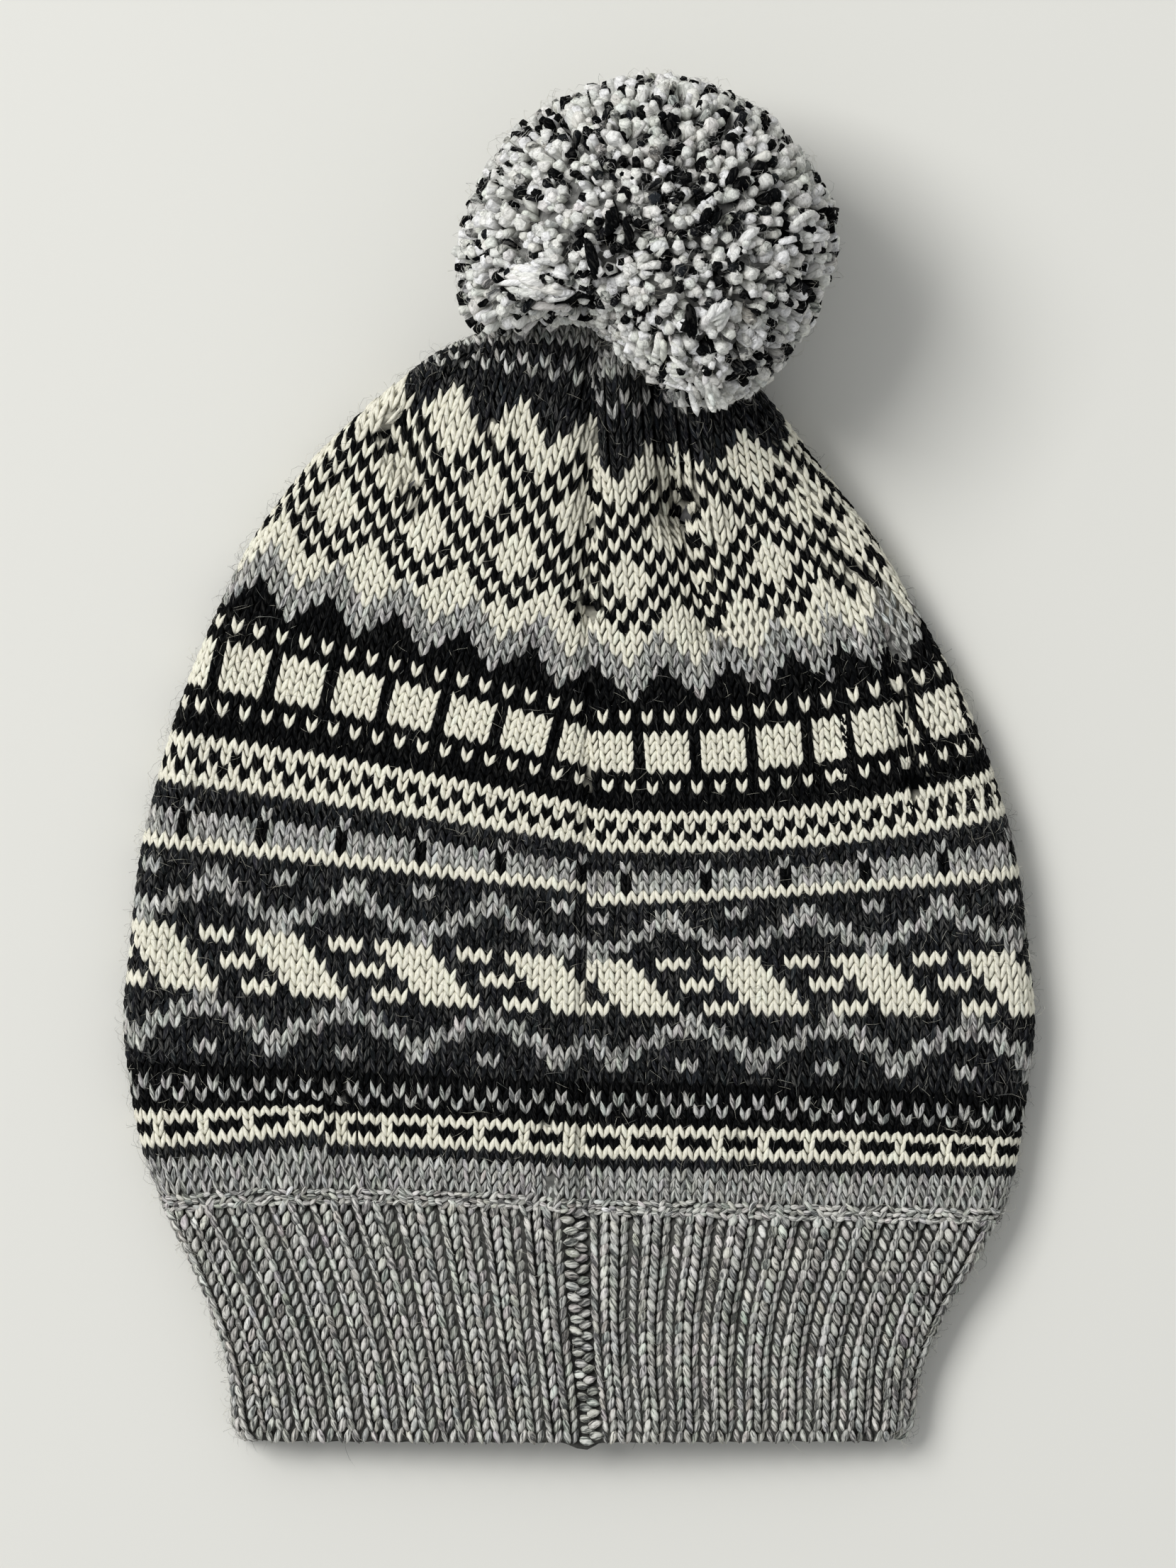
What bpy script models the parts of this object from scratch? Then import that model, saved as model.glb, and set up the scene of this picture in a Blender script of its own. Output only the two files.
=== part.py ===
"""Knitted wool hat with a ribbed band and a pompom, lying flat with its back seam up.

Metres, +Z up. The hem faces -Y and the pompom +Y. The lower layer lies on z = 0, and the origin is
on that plane, in the middle of the whole hat's length and width.
"""
import math

import bmesh
import bpy
import numpy as np
from mathutils import Vector
from mathutils.bvhtree import BVHTree

# Overall sizes of the shell, laid flat
HAT_WIDTH = 0.2512
SHELL_LENGTH = 0.3100
LAY_HEIGHT = 0.0220

# Ribbed band
BAND_DEPTH = 0.0647
BAND_WALL = 0.0045
RIB_COUNT = 40
RIB_DEPTH = 0.0013
RIDGE_WIDTH = 0.0040
RIDGE_HEIGHT = 0.0012

# Patterned body
BODY_WALL = 0.0035
PLEAT_COUNT = 22
PLEAT_DEPTH = 0.0018
PLEAT_LENGTH = 0.0300
JOIN_GAP = 0.0003

# Pompom: a ball whose middle lies beyond the drawn-up end of the crown
POMPOM_WIDTH = 0.1050
POMPOM_HEIGHT = 0.0920
POMPOM_ALONG = 0.3270
POMPOM_ASIDE = 0.0175
LOCK_COUNT = 180
LOCK_LENGTH = 0.0095
LOCK_SPREAD = 0.72
POMPOM_CLEARANCE = 0.0005
POMPOM_SEED = 7

# The origin sits at half of this length, measured from the hem
TOTAL_LENGTH = POMPOM_ALONG + 0.97 * POMPOM_WIDTH / 2

# Cross-sections from the hem to the drawn-up end. "at" is a share of SHELL_LENGTH, "mid" and "half"
# of half of HAT_WIDTH, and "base", "side" and "arch" of LAY_HEIGHT: how high the lower layer lies,
# how high the folded sides stand, and how far the upper layer rises above them.
SECTION_COLUMNS = ("at", "mid", "half", "base", "side", "arch")
SECTIONS = (
    (0.000, -0.020, 0.722, 0.00, 0.70, 0.18),
    (0.012, -0.018, 0.742, 0.00, 0.71, 0.18),
    (0.060, -0.013, 0.758, 0.00, 0.72, 0.19),
    (0.114, -0.004, 0.802, 0.00, 0.73, 0.20),
    (0.165, 0.010, 0.866, 0.00, 0.74, 0.22),
    (0.214, 0.012, 0.925, 0.00, 0.75, 0.24),
    (0.256, 0.004, 0.958, 0.00, 0.76, 0.27),
    (0.315, 0.000, 0.984, 0.00, 0.77, 0.29),
    (0.378, 0.000, 1.000, 0.00, 0.77, 0.30),
    (0.440, 0.000, 0.987, 0.00, 0.77, 0.30),
    (0.516, -0.002, 0.965, 0.00, 0.77, 0.30),
    (0.592, -0.006, 0.920, 0.00, 0.77, 0.31),
    (0.668, -0.014, 0.855, 0.00, 0.77, 0.33),
    (0.742, -0.026, 0.768, 0.00, 0.78, 0.38),
    (0.806, -0.033, 0.682, 0.02, 0.80, 0.45),
    (0.868, -0.034, 0.567, 0.08, 0.86, 0.52),
    (0.919, -0.018, 0.455, 0.20, 0.90, 0.54),
    (0.944, -0.008, 0.388, 0.30, 0.92, 0.50),
    (0.969, -0.009, 0.307, 0.44, 0.92, 0.42),
    (0.984, -0.018, 0.215, 0.60, 0.86, 0.30),
    (0.994, -0.035, 0.130, 0.78, 0.70, 0.16),
    (1.000, -0.045, 0.060, 0.98, 0.42, 0.04),
)

# Creases in the upper layer, each along a line from its first to its last point. "x" values are
# shares of half of HAT_WIDTH, "at" values of SHELL_LENGTH. "width" and "depth" are shares of
# LAY_HEIGHT, and "lip" is how far the right-hand side of the crease rises, as a share of its depth.
FOLD_COLUMNS = ("x_from", "at_from", "x_to", "at_to", "width", "depth", "lip")
FOLDS = (
    (0.045, 0.995, 0.022, 0.740, 0.17, 0.150, 0.3),
    (0.022, 0.740, 0.006, 0.010, 0.13, 0.075, 0.0),
    (0.190, 0.955, 0.235, 0.830, 0.24, 0.260, 0.6),
    (0.235, 0.830, 0.300, 0.722, 0.22, 0.120, 0.5),
    (0.520, 0.868, 0.640, 0.775, 0.22, 0.160, 0.4),
    (-0.450, 0.905, -0.370, 0.850, 0.20, 0.110, -0.4),
    (-0.240, 0.955, -0.200, 0.900, 0.20, 0.080, 0.4),
    (-0.515, 0.292, -0.500, 0.222, 0.16, 0.090, 0.5),
    (-0.068, 0.275, -0.060, 0.235, 0.14, 0.070, 0.5),
    (0.360, 0.262, 0.380, 0.222, 0.14, 0.050, 0.5),
)

# The pompom's outline from above: "turn" in degrees from +X, and "reach" as a share of half of
# POMPOM_WIDTH. The short reaches are where the end of the crown parts the yarn.
OUTLINE_COLUMNS = ("turn", "reach")
POMPOM_OUTLINE = (
    (0, 1.00), (15, 1.03), (32, 0.97), (47, 0.98), (62, 0.95), (85, 0.97), (110, 0.98),
    (135, 0.98), (155, 0.95), (175, 0.95), (190, 1.00), (203, 0.98), (213, 0.68), (223, 0.50),
    (236, 0.45), (252, 0.50), (268, 0.58), (280, 0.70), (290, 0.86), (302, 0.92), (316, 0.93),
    (335, 0.94),
)
POMPOM_SQUARENESS = 2.25

# Rays round each direction that feel for the crown, and how far they stray from it
LIMIT_RAYS = 8
LIMIT_STRAY = 0.09

# Columns of faces round each shell, and how many of the body's lie on its lower layer and sides
BODY_UPPER = 44
BODY_SIDE = 4
BODY_LOWER = 12
BODY_RINGS = 30
BODY_LINING_RINGS = 20
BAND_COLUMNS_PER_RIB = 3
BAND_RINGS = 4

# Creases fade out this many widths away, and rings crowd together towards the drawn-up end
CREASE_REACH = 3.0
DRAWN_END_CROWDING = 1.7

# Looks: colour, roughness
FINISHES = {
    "knit_body": ((0.23, 0.24, 0.25), 0.95),
    "rib_band": ((0.34, 0.35, 0.35), 0.95),
    "pompom": ((0.55, 0.55, 0.52), 0.95),
}


def clear_scene():
    """Remove every object, so that the part is built from nothing."""
    for obj in list(bpy.data.objects):
        bpy.data.objects.remove(obj, do_unlink=True)


def new_collection(name):
    """Make a collection in the scene."""
    collection = bpy.data.collections.new(name)
    bpy.context.scene.collection.children.link(collection)
    return collection


def knit_material(name):
    """Plain matt wool in the piece's mean colour."""
    colour, roughness = FINISHES[name]
    material = bpy.data.materials.new(name + "_wool")
    material.use_nodes = True
    shader = material.node_tree.nodes["Principled BSDF"]
    shader.inputs["Base Color"].default_value = (*colour, 1.0)
    shader.inputs["Roughness"].default_value = roughness
    shader.inputs["Metallic"].default_value = 0.0
    return material


def column(table, columns, name):
    """One named column of a table, as an array."""
    return np.array([row[columns.index(name)] for row in table], dtype=float)


def smooth_read(places, values, place):
    """Read a table between its rows on a curve that neither overshoots nor steps."""
    slopes = np.diff(values) / np.diff(places)
    tangents = np.zeros(len(values))
    for i in range(1, len(values) - 1):
        if slopes[i - 1] * slopes[i] > 0.0:
            tangents[i] = 2.0 / (1.0 / slopes[i - 1] + 1.0 / slopes[i])
    tangents[0], tangents[-1] = slopes[0], slopes[-1]
    place = min(max(place, places[0]), places[-1])
    i = min(int(np.searchsorted(places, place, side="right")) - 1, len(slopes) - 1)
    step = places[i + 1] - places[i]
    t = (place - places[i]) / step
    rise = (3.0 - 2.0 * t) * t * t
    return (values[i] * (1.0 - rise) + values[i + 1] * rise
            + step * (tangents[i] * t * (1.0 - t) ** 2 - tangents[i + 1] * t * t * (1.0 - t)))


def section(along):
    """The shell's cross-section at a distance from the hem, in metres."""
    at = along / SHELL_LENGTH
    places = column(SECTIONS, SECTION_COLUMNS, "at")

    def read(name):
        return smooth_read(places, column(SECTIONS, SECTION_COLUMNS, name), at)

    side = LAY_HEIGHT * read("side")
    return {
        "mid": HAT_WIDTH / 2 * read("mid"),
        "half": max(HAT_WIDTH / 2 * read("half"), side / 2 * 1.05),
        "base": LAY_HEIGHT * read("base"),
        "side": side,
        "arch": LAY_HEIGHT * read("arch"),
    }


def loop_spot(cut, part, t, depth):
    """A point of a section's loop and the way out of the knit there.

    part is lower, right, upper or left, t runs from 0 to 1 along it, anticlockwise as seen from
    the hem, and depth is how far inside the outer face the point lies.
    """
    radius = cut["side"] / 2
    flat = cut["half"] - radius
    if part == "lower":
        return cut["mid"] + flat * (2 * t - 1), cut["base"] + depth, 0.0, -1.0
    if part == "upper":
        across = 1 - 2 * t
        height = cut["base"] + cut["side"] + cut["arch"] * (1 - across * across) ** 1.5 - depth
        return cut["mid"] + flat * across, height, 0.0, 1.0
    sign = 1.0 if part == "right" else -1.0
    angle = math.pi * (t - 0.5) if part == "right" else math.pi * (0.5 - t)
    out_x, out_z = sign * math.cos(angle), math.sin(angle)
    reach = max(radius - depth, radius * 0.2)
    return (cut["mid"] + sign * flat + reach * out_x,
            cut["base"] + radius + reach * out_z, out_x, out_z)


def body_columns():
    """The columns round the body, as parts of the loop and places on them."""
    spread = (("lower", BODY_LOWER), ("right", BODY_SIDE), ("upper", BODY_UPPER),
              ("left", BODY_SIDE))
    return [(part, i / count) for part, count in spread for i in range(count)]


def band_columns(cut):
    """Columns at even steps round the band, as parts of the loop and places on them."""
    flat = 2 * cut["half"] - cut["side"]
    bend = math.pi * cut["side"] / 2
    lengths = (("lower", flat), ("right", bend), ("upper", flat), ("left", bend))
    count = RIB_COUNT * BAND_COLUMNS_PER_RIB
    whole = 2 * (flat + bend)
    spots = []
    for i in range(count):
        run = whole * i / count
        for part, length in lengths:
            if run < length:
                spots.append((part, run / length))
                break
            run -= length
    return spots


def fold_height(x, along):
    """How far the creases lower or raise the upper layer at a point seen from above."""
    height = 0.0
    for row in FOLDS:
        fold = dict(zip(FOLD_COLUMNS, row))
        start = Vector((fold["x_from"] * HAT_WIDTH / 2, fold["at_from"] * SHELL_LENGTH))
        end = Vector((fold["x_to"] * HAT_WIDTH / 2, fold["at_to"] * SHELL_LENGTH))
        run = end - start
        share = min(max((Vector((x, along)) - start).dot(run) / run.length_squared, 0.0), 1.0)
        nearest = start + run * share
        away = (Vector((x, along)) - nearest).length / (fold["width"] * LAY_HEIGHT)
        if away > CREASE_REACH:
            continue
        side = 1.0 if x > nearest.x else -1.0
        depth = fold["depth"] * LAY_HEIGHT
        height -= depth * math.exp(-away * away)
        height += depth * fold["lip"] * side * away * math.exp(1 - away * away / 2) / 2
    return height


def pleat_height(part, t, along):
    """How far the gathers at the drawn-up end sink between their crests."""
    ramp = min(max(1 - (SHELL_LENGTH - along) / PLEAT_LENGTH, 0.0), 1.0)
    turn = {"lower": 0.0, "right": 0.4, "upper": 0.5, "left": 0.9}[part]
    share = 0.4 if part in ("lower", "upper") else 0.1
    wave = 0.5 - 0.5 * math.cos(2 * math.pi * PLEAT_COUNT * (turn + share * t))
    return -PLEAT_DEPTH * ramp * wave


def body_ring(along, depth, folded=False, pleated=False):
    """One ring of the body at a depth inside its outer face, with its creases and gathers."""
    cut = section(along)
    ring = []
    for part, t in body_columns():
        x, z, out_x, out_z = loop_spot(cut, part, t, depth)
        lift = pleat_height(part, t, along) if pleated else 0.0
        if folded and part == "upper":
            lift += fold_height(x, along)
        x, z = x + lift * out_x, z + lift * out_z
        ring.append(Vector((x, along - TOTAL_LENGTH / 2, max(z, 0.0))))
    return ring


def band_ring(along, depth, ribbed, raised):
    """One ring of the band: ribbed outside, plain inside, raised along the ridge."""
    cut = section(max(along, 0.0))
    ring = []
    for i, (part, t) in enumerate(band_columns(cut)):
        x, z, out_x, out_z = loop_spot(cut, part, t, depth)
        lift = raised
        if ribbed and i % BAND_COLUMNS_PER_RIB == 0:
            lift -= RIB_DEPTH
        if part == "upper" and ribbed:
            lift += fold_height(x, along)
        x, z = x + lift * out_x, z + lift * out_z
        ring.append(Vector((x, along - TOTAL_LENGTH / 2, max(z, 0.0))))
    return ring


def loft(mesh, rings, closed_ends=False):
    """Join rings of as many points each into quads, and cap both ends where they close."""
    laid = [[mesh.verts.new(point) for point in ring] for ring in rings]
    count = len(laid[0])
    for near, far in zip(laid, laid[1:]):
        for i in range(count):
            j = (i + 1) % count
            mesh.faces.new((near[i], near[j], far[j], far[i]))
    if closed_ends:
        mesh.faces.new(laid[0])
        mesh.faces.new(laid[-1])
    return laid


def finish_piece(mesh, name, collection):
    """Turn a bmesh into a named object with its own material."""
    bmesh.ops.recalc_face_normals(mesh, faces=mesh.faces)
    data = bpy.data.meshes.new(name)
    mesh.to_mesh(data)
    mesh.free()
    data.materials.append(knit_material(name))
    data.shade_smooth()
    data.set_sharp_from_angle(angle=math.radians(50))
    piece = bpy.data.objects.new(name, data)
    collection.objects.link(piece)
    return piece


def make_band(collection):
    """The ribbed band, from its rounded hem to the ridge where the body is linked on."""
    lip = BAND_WALL / 2
    top = BAND_DEPTH
    crest = top - RIDGE_WIDTH / 2
    foot = top - RIDGE_WIDTH
    middle = [lip + (foot - lip) * i / (BAND_RINGS - 1) for i in range(BAND_RINGS)]
    rings = [band_ring(0.0, lip, False, 0.0)]
    rings += [band_ring(along, 0.0, True, 0.0) for along in middle]
    rings += [band_ring(crest, 0.0, False, RIDGE_HEIGHT), band_ring(top, 0.0, False, 0.0)]
    rings += [band_ring(top, BAND_WALL, False, 0.0), band_ring(top / 2, BAND_WALL, False, 0.0),
              band_ring(lip, BAND_WALL, False, 0.0)]
    rings.append(rings[0])
    mesh = bmesh.new()
    loft(mesh, rings)
    bmesh.ops.remove_doubles(mesh, verts=mesh.verts, dist=0.000001)
    return finish_piece(mesh, "rib_band", collection)


def body_places(start, end, count):
    """Distances from the hem for rings that crowd together towards the drawn-up end."""
    return [start + (end - start) * (1 - (1 - i / (count - 1)) ** DRAWN_END_CROWDING)
            for i in range(count)]


def make_body(collection):
    """The patterned body and its crown, open where the band is linked on."""
    start = BAND_DEPTH + JOIN_GAP
    inner_end = SHELL_LENGTH * 0.985 - BODY_WALL
    outside = [body_ring(along, 0.0, folded=True, pleated=True)
               for along in body_places(start, SHELL_LENGTH, BODY_RINGS)]
    lining = [body_ring(along, BODY_WALL, folded=True)
              for along in body_places(start, inner_end, BODY_LINING_RINGS)]
    mesh = bmesh.new()
    loft(mesh, list(reversed(outside)) + lining, closed_ends=True)
    return finish_piece(mesh, "knit_body", collection)


def pompom_limit():
    """A guide round the crown's end, grown by the pompom's clearance, that stops its yarn."""
    places = body_places(SHELL_LENGTH * 0.7, SHELL_LENGTH, BODY_RINGS)
    rings = [body_ring(along, -POMPOM_CLEARANCE, folded=True) for along in places]
    middle = sum(rings[-1], Vector()) / len(rings[-1])
    last = [middle + (point - middle) * 0.5 for point in rings[-1]]
    rings.append([point + Vector((0, POMPOM_CLEARANCE, 0)) for point in last])
    points = [point for ring in rings for point in ring]
    count = len(rings[0])
    faces = [(r * count + i, r * count + (i + 1) % count,
              (r + 1) * count + (i + 1) % count, (r + 1) * count + i)
             for r in range(len(rings) - 1) for i in range(count)]
    faces.append(tuple(range(len(points) - count, len(points))))
    return BVHTree.FromPolygons([tuple(p) for p in points], faces)


def pompom_reach(direction, middle, limit):
    """How far the yarn reaches from the pompom's middle along a direction."""
    turn = math.degrees(math.atan2(direction.y, direction.x)) % 360.0
    turns = column(POMPOM_OUTLINE, OUTLINE_COLUMNS, "turn")
    reaches = column(POMPOM_OUTLINE, OUTLINE_COLUMNS, "reach")
    share = np.interp(turn, np.append(turns, 360.0), np.append(reaches, reaches[0]))
    across = math.hypot(direction.x, direction.y) / (share * POMPOM_WIDTH / 2)
    up = abs(direction.z) / (POMPOM_HEIGHT / 2)
    reach = (across ** POMPOM_SQUARENESS + up ** POMPOM_SQUARENESS) ** (-1 / POMPOM_SQUARENESS)
    if direction.z < 0.0:
        reach = min(reach, middle.z / -direction.z)
    side = direction.orthogonal().normalized()
    other = direction.cross(side)
    for i in range(LIMIT_RAYS + 1):
        angle = 2 * math.pi * i / LIMIT_RAYS
        stray = (side * math.cos(angle) + other * math.sin(angle)) * LIMIT_STRAY
        hit = limit.ray_cast(middle, (direction + stray * min(i, 1)).normalized())
        if hit[0] is not None:
            reach = min(reach, hit[3])
    return reach


def lock_directions():
    """Directions of the locks: a spiral over the sphere, each stirred a little."""
    stir = np.random.default_rng(POMPOM_SEED)
    golden = math.pi * (3.0 - math.sqrt(5.0))
    directions = []
    for i in range(LOCK_COUNT):
        height = 1 - 2 * (i + 0.5) / LOCK_COUNT
        across = math.sqrt(1 - height * height)
        spot = Vector((across * math.cos(golden * i), across * math.sin(golden * i), height))
        directions.append((spot + Vector(stir.uniform(-0.035, 0.035, 3))).normalized())
    return directions


def make_pompom(collection):
    """The pompom: one blunt lock in each cell between neighbouring directions, on one core."""
    middle = Vector((POMPOM_ASIDE, POMPOM_ALONG - TOTAL_LENGTH / 2, POMPOM_HEIGHT / 2))
    limit = pompom_limit()
    ball = bmesh.new()
    for direction in lock_directions():
        ball.verts.new(direction)
    bmesh.ops.convex_hull(ball, input=ball.verts)
    bmesh.ops.triangulate(ball, faces=ball.faces)
    ball.faces.index_update()

    mesh = bmesh.new()
    roots = []
    for face in ball.faces:
        way = face.calc_center_median().normalized()
        reach = pompom_reach(way, middle, limit)
        roots.append(mesh.verts.new(middle + way * (reach - LOCK_LENGTH)))
    for spot in ball.verts:
        axis = spot.co.normalized()
        side = axis.orthogonal().normalized()
        other = axis.cross(side)
        cell = sorted(spot.link_faces, key=lambda f: math.atan2(
            (f.calc_center_median() - spot.co).dot(other),
            (f.calc_center_median() - spot.co).dot(side)))
        foot = [roots[face.index] for face in cell]
        tips = []
        for face in cell:
            way = (axis + (face.calc_center_median().normalized() - axis) * LOCK_SPREAD)
            way.normalize()
            tips.append(mesh.verts.new(middle + way * pompom_reach(way, middle, limit)))
        mesh.faces.new(tips)
        for i in range(len(foot)):
            j = (i + 1) % len(foot)
            mesh.faces.new((foot[i], foot[j], tips[j], tips[i]))
    ball.free()
    return finish_piece(mesh, "pompom", collection)


def build():
    """Build the three pieces of the hat."""
    clear_scene()
    hat = new_collection("knitted_hat")
    make_band(hat)
    make_body(hat)
    make_pompom(hat)


build()
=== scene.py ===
"""Knitted bobble hat, laid flat with its back seam up, on a pale floor.

Metres, +Z up. "along" is a distance from the hem towards the pompom. "turn" says where round the
hat a point lies: 0 on the seam, +1 or -1 round the right or left side in the middle of the front.
The fabric is laid stitch by stitch: each stitch is two short yarn legs, coloured from a chart.
"""
import math
from collections import namedtuple
from itertools import product

import bmesh
import bpy
import numpy as np
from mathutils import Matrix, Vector
from mathutils.bvhtree import BVHTree


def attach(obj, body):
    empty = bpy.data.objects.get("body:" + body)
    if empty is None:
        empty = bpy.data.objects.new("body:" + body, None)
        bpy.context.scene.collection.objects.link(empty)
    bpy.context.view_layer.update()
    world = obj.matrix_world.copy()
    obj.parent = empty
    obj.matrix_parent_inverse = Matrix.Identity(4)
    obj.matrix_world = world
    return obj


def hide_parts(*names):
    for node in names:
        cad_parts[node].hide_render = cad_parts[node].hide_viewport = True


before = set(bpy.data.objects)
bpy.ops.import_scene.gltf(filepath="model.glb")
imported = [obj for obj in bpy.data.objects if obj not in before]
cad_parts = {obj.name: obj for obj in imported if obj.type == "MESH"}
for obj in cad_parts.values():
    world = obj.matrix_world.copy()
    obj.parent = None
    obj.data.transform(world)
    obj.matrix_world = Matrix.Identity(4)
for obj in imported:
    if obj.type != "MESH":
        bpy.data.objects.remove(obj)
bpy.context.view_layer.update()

# The shell's sizes and cross-sections, as the construction has them
HAT_WIDTH = 0.2512
SHELL_LENGTH = 0.3100
LAY_HEIGHT = 0.0220
BAND_DEPTH = 0.0647
BAND_WALL = 0.0045
BODY_WALL = 0.0035
RIB_COUNT = 40
POMPOM_ALONG = 0.3270
POMPOM_ASIDE = 0.0175
POMPOM_WIDTH = 0.1050
POMPOM_HEIGHT = 0.0920
TOTAL_LENGTH = POMPOM_ALONG + 0.97 * POMPOM_WIDTH / 2
MID_ALONG = TOTAL_LENGTH / 2

SECTION_COLUMNS = ("at", "mid", "half", "base", "side", "arch")
SECTIONS = (
    (0.000, -0.020, 0.722, 0.00, 0.70, 0.18),
    (0.012, -0.018, 0.742, 0.00, 0.71, 0.18),
    (0.060, -0.013, 0.758, 0.00, 0.72, 0.19),
    (0.114, -0.004, 0.802, 0.00, 0.73, 0.20),
    (0.165, 0.010, 0.866, 0.00, 0.74, 0.22),
    (0.214, 0.012, 0.925, 0.00, 0.75, 0.24),
    (0.256, 0.004, 0.958, 0.00, 0.76, 0.27),
    (0.315, 0.000, 0.984, 0.00, 0.77, 0.29),
    (0.378, 0.000, 1.000, 0.00, 0.77, 0.30),
    (0.440, 0.000, 0.987, 0.00, 0.77, 0.30),
    (0.516, -0.002, 0.965, 0.00, 0.77, 0.30),
    (0.592, -0.006, 0.920, 0.00, 0.77, 0.31),
    (0.668, -0.014, 0.855, 0.00, 0.77, 0.33),
    (0.742, -0.026, 0.768, 0.00, 0.78, 0.38),
    (0.806, -0.033, 0.682, 0.02, 0.80, 0.45),
    (0.868, -0.034, 0.567, 0.08, 0.86, 0.52),
    (0.919, -0.018, 0.455, 0.20, 0.90, 0.54),
    (0.944, -0.008, 0.388, 0.30, 0.92, 0.50),
    (0.969, -0.009, 0.307, 0.44, 0.92, 0.42),
    (0.984, -0.018, 0.215, 0.60, 0.86, 0.30),
    (0.994, -0.035, 0.130, 0.78, 0.70, 0.16),
    (1.000, -0.045, 0.060, 0.98, 0.42, 0.04),
)

# Creases in the seam side, from a first point to a last one, as the construction has them
FOLD_COLUMNS = ("x_from", "at_from", "x_to", "at_to", "width", "depth", "lip")
FOLDS = (
    (0.045, 0.995, 0.022, 0.740, 0.17, 0.150, 0.3),
    (0.022, 0.740, 0.006, 0.010, 0.13, 0.075, 0.0),
    (0.190, 0.955, 0.235, 0.830, 0.24, 0.260, 0.6),
    (0.235, 0.830, 0.300, 0.722, 0.22, 0.120, 0.5),
    (0.520, 0.868, 0.640, 0.775, 0.22, 0.160, 0.4),
    (-0.450, 0.905, -0.370, 0.850, 0.20, 0.110, -0.4),
    (-0.240, 0.955, -0.200, 0.900, 0.20, 0.080, 0.4),
    (-0.515, 0.292, -0.500, 0.222, 0.16, 0.090, 0.5),
    (-0.068, 0.275, -0.060, 0.235, 0.14, 0.070, 0.5),
    (0.360, 0.262, 0.380, 0.222, 0.14, 0.050, 0.5),
)
# Small folds that only the scene shows, in the same columns
SMALL_FOLDS = (
    (0.700, 0.705, 0.748, 0.590, 0.15, 0.115, 0.5),
    (0.565, 0.715, 0.530, 0.590, 0.26, 0.060, 0.0),
)
CREASE_REACH = 3.0
# Creases fade over this share of the half width before the side's bend
CREASE_FADE = 0.06
# The soft fabric falls deeper into the creases than the plain shell does
CREASE_EMPHASIS = 1.5

# The seam's line across the back: "along" in millimetres and how far right of the middle it runs
SEAM_ALONG = (3.0, 19.0, 34.0, 55.0, 65.0, 80.0, 100.0, 118.0, 151.0, 229.0, 308.0)
SEAM_ASIDE = (3.2, 1.4, 0.0, -0.8, -1.2, -1.6, 0.4, 1.8, 2.0, 2.8, 5.6)

# Where each charted row lies, in millimetres from the hem, at the left outline, midway to the seam,
# at the seam's left and right, midway to the right outline, there, and in the middle of the front
ROW_COLUMNS = ("row", "left", "left_mid", "seam_left", "seam_right", "right_mid", "right", "front")
ROW_LINES = (
    (-55, 305.5, 307.5, 306.0, 299.0, 300.0, 303.0, 304.0),
    (-53, 301.1, 302.8, 300.5, 292.7, 294.5, 299.0, 300.0),
    (-47, 294.0, 286.9, 279.0, 271.2, 274.0, 283.5, 288.5),
    (-44, 283.9, 275.9, 268.3, 261.9, 265.5, 276.5, 280.0),
    (-36, 261.5, 249.4, 237.6, 236.1, 239.8, 255.0, 259.0),
    (-24, 225.4, 213.7, 200.3, 198.9, 201.4, 214.3, 221.5),
    (-14, 193.1, 184.6, 173.4, 172.4, 172.8, 183.6, 189.3),
    (-6, 165.2, 158.8, 151.9, 148.4, 151.6, 156.0, 163.5),
    (1, 140.5, 135.7, 130.5, 130.5, 131.5, 132.3, 137.9),
    (13, 98.3, 96.2, 93.8, 93.8, 91.9, 88.2, 94.0),
    (16, 87.9, 88.6, 85.2, 85.0, 83.8, 82.1, 85.0),
    (23, 64.7, 67.2, 64.7, 64.7, 63.0, 61.6, 63.2),
)
FIRST_ROW = -55
LAST_ROW = 22
RIDGE_ROW = 23
MIDWAY_TURN = 0.25
OUTLINE_TURN = 0.49

# Left of a small fold the rows above the band are pushed up
STEP_TURN = -0.275
STEP_REACH = 0.09
STEP_ROW = 17.0
STEP_ROWS = 3.2
STEP_RISE = 0.0030

# Columns that the shaped seam has swallowed by a row, on its left and right
SWALLOWED_ROWS = (-55, -47, -36, -24, -14, -8, 23)
SWALLOWED = {-1: (11.6, 10.0, 6.7, 3.2, 1.0, 0.0, 0.0), 1: (5.5, 4.7, 3.1, 1.3, 0.5, 0.0, 0.0)}
COLUMNS_PER_SIDE = 80

# Creases right of the seam tuck fabric away: places along the hat, how far right of the middle the
# crease lies there, and how much it hides, all in millimetres
TUCKS = (
    ((205, 218, 232, 250, 300), (41.0, 38.0, 35.0, 30.5, 23.5), (0.0, 3.0, 8.0, 11.5, 11.5)),
    ((170, 188, 205, 222, 245), (74.0, 73.0, 72.0, 69.0, 64.0), (0.0, 4.0, 5.0, 5.0, 0.0)),
    ((172, 186, 200, 214, 235), (91.0, 90.0, 90.0, 85.0, 80.0), (0.0, 7.0, 13.0, 11.0, 0.0)),
)
# Shares of a stitch's width: how far stitches reach into a tuck, where the first one beside the seam
# stands, and how far the outermost ones may pass the seam and the middle of the front
TUCK_OVERLAP = 0.35
FIRST_PLACE = 0.36
PAST_SEAM = 0.10
SHORT_OF_FRONT = 0.15
CROWN_STITCH_WIDTH = 0.00312
CROWN_WIDTH_ROW = -19
BODY_WIDTH_ROW = -8

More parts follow.
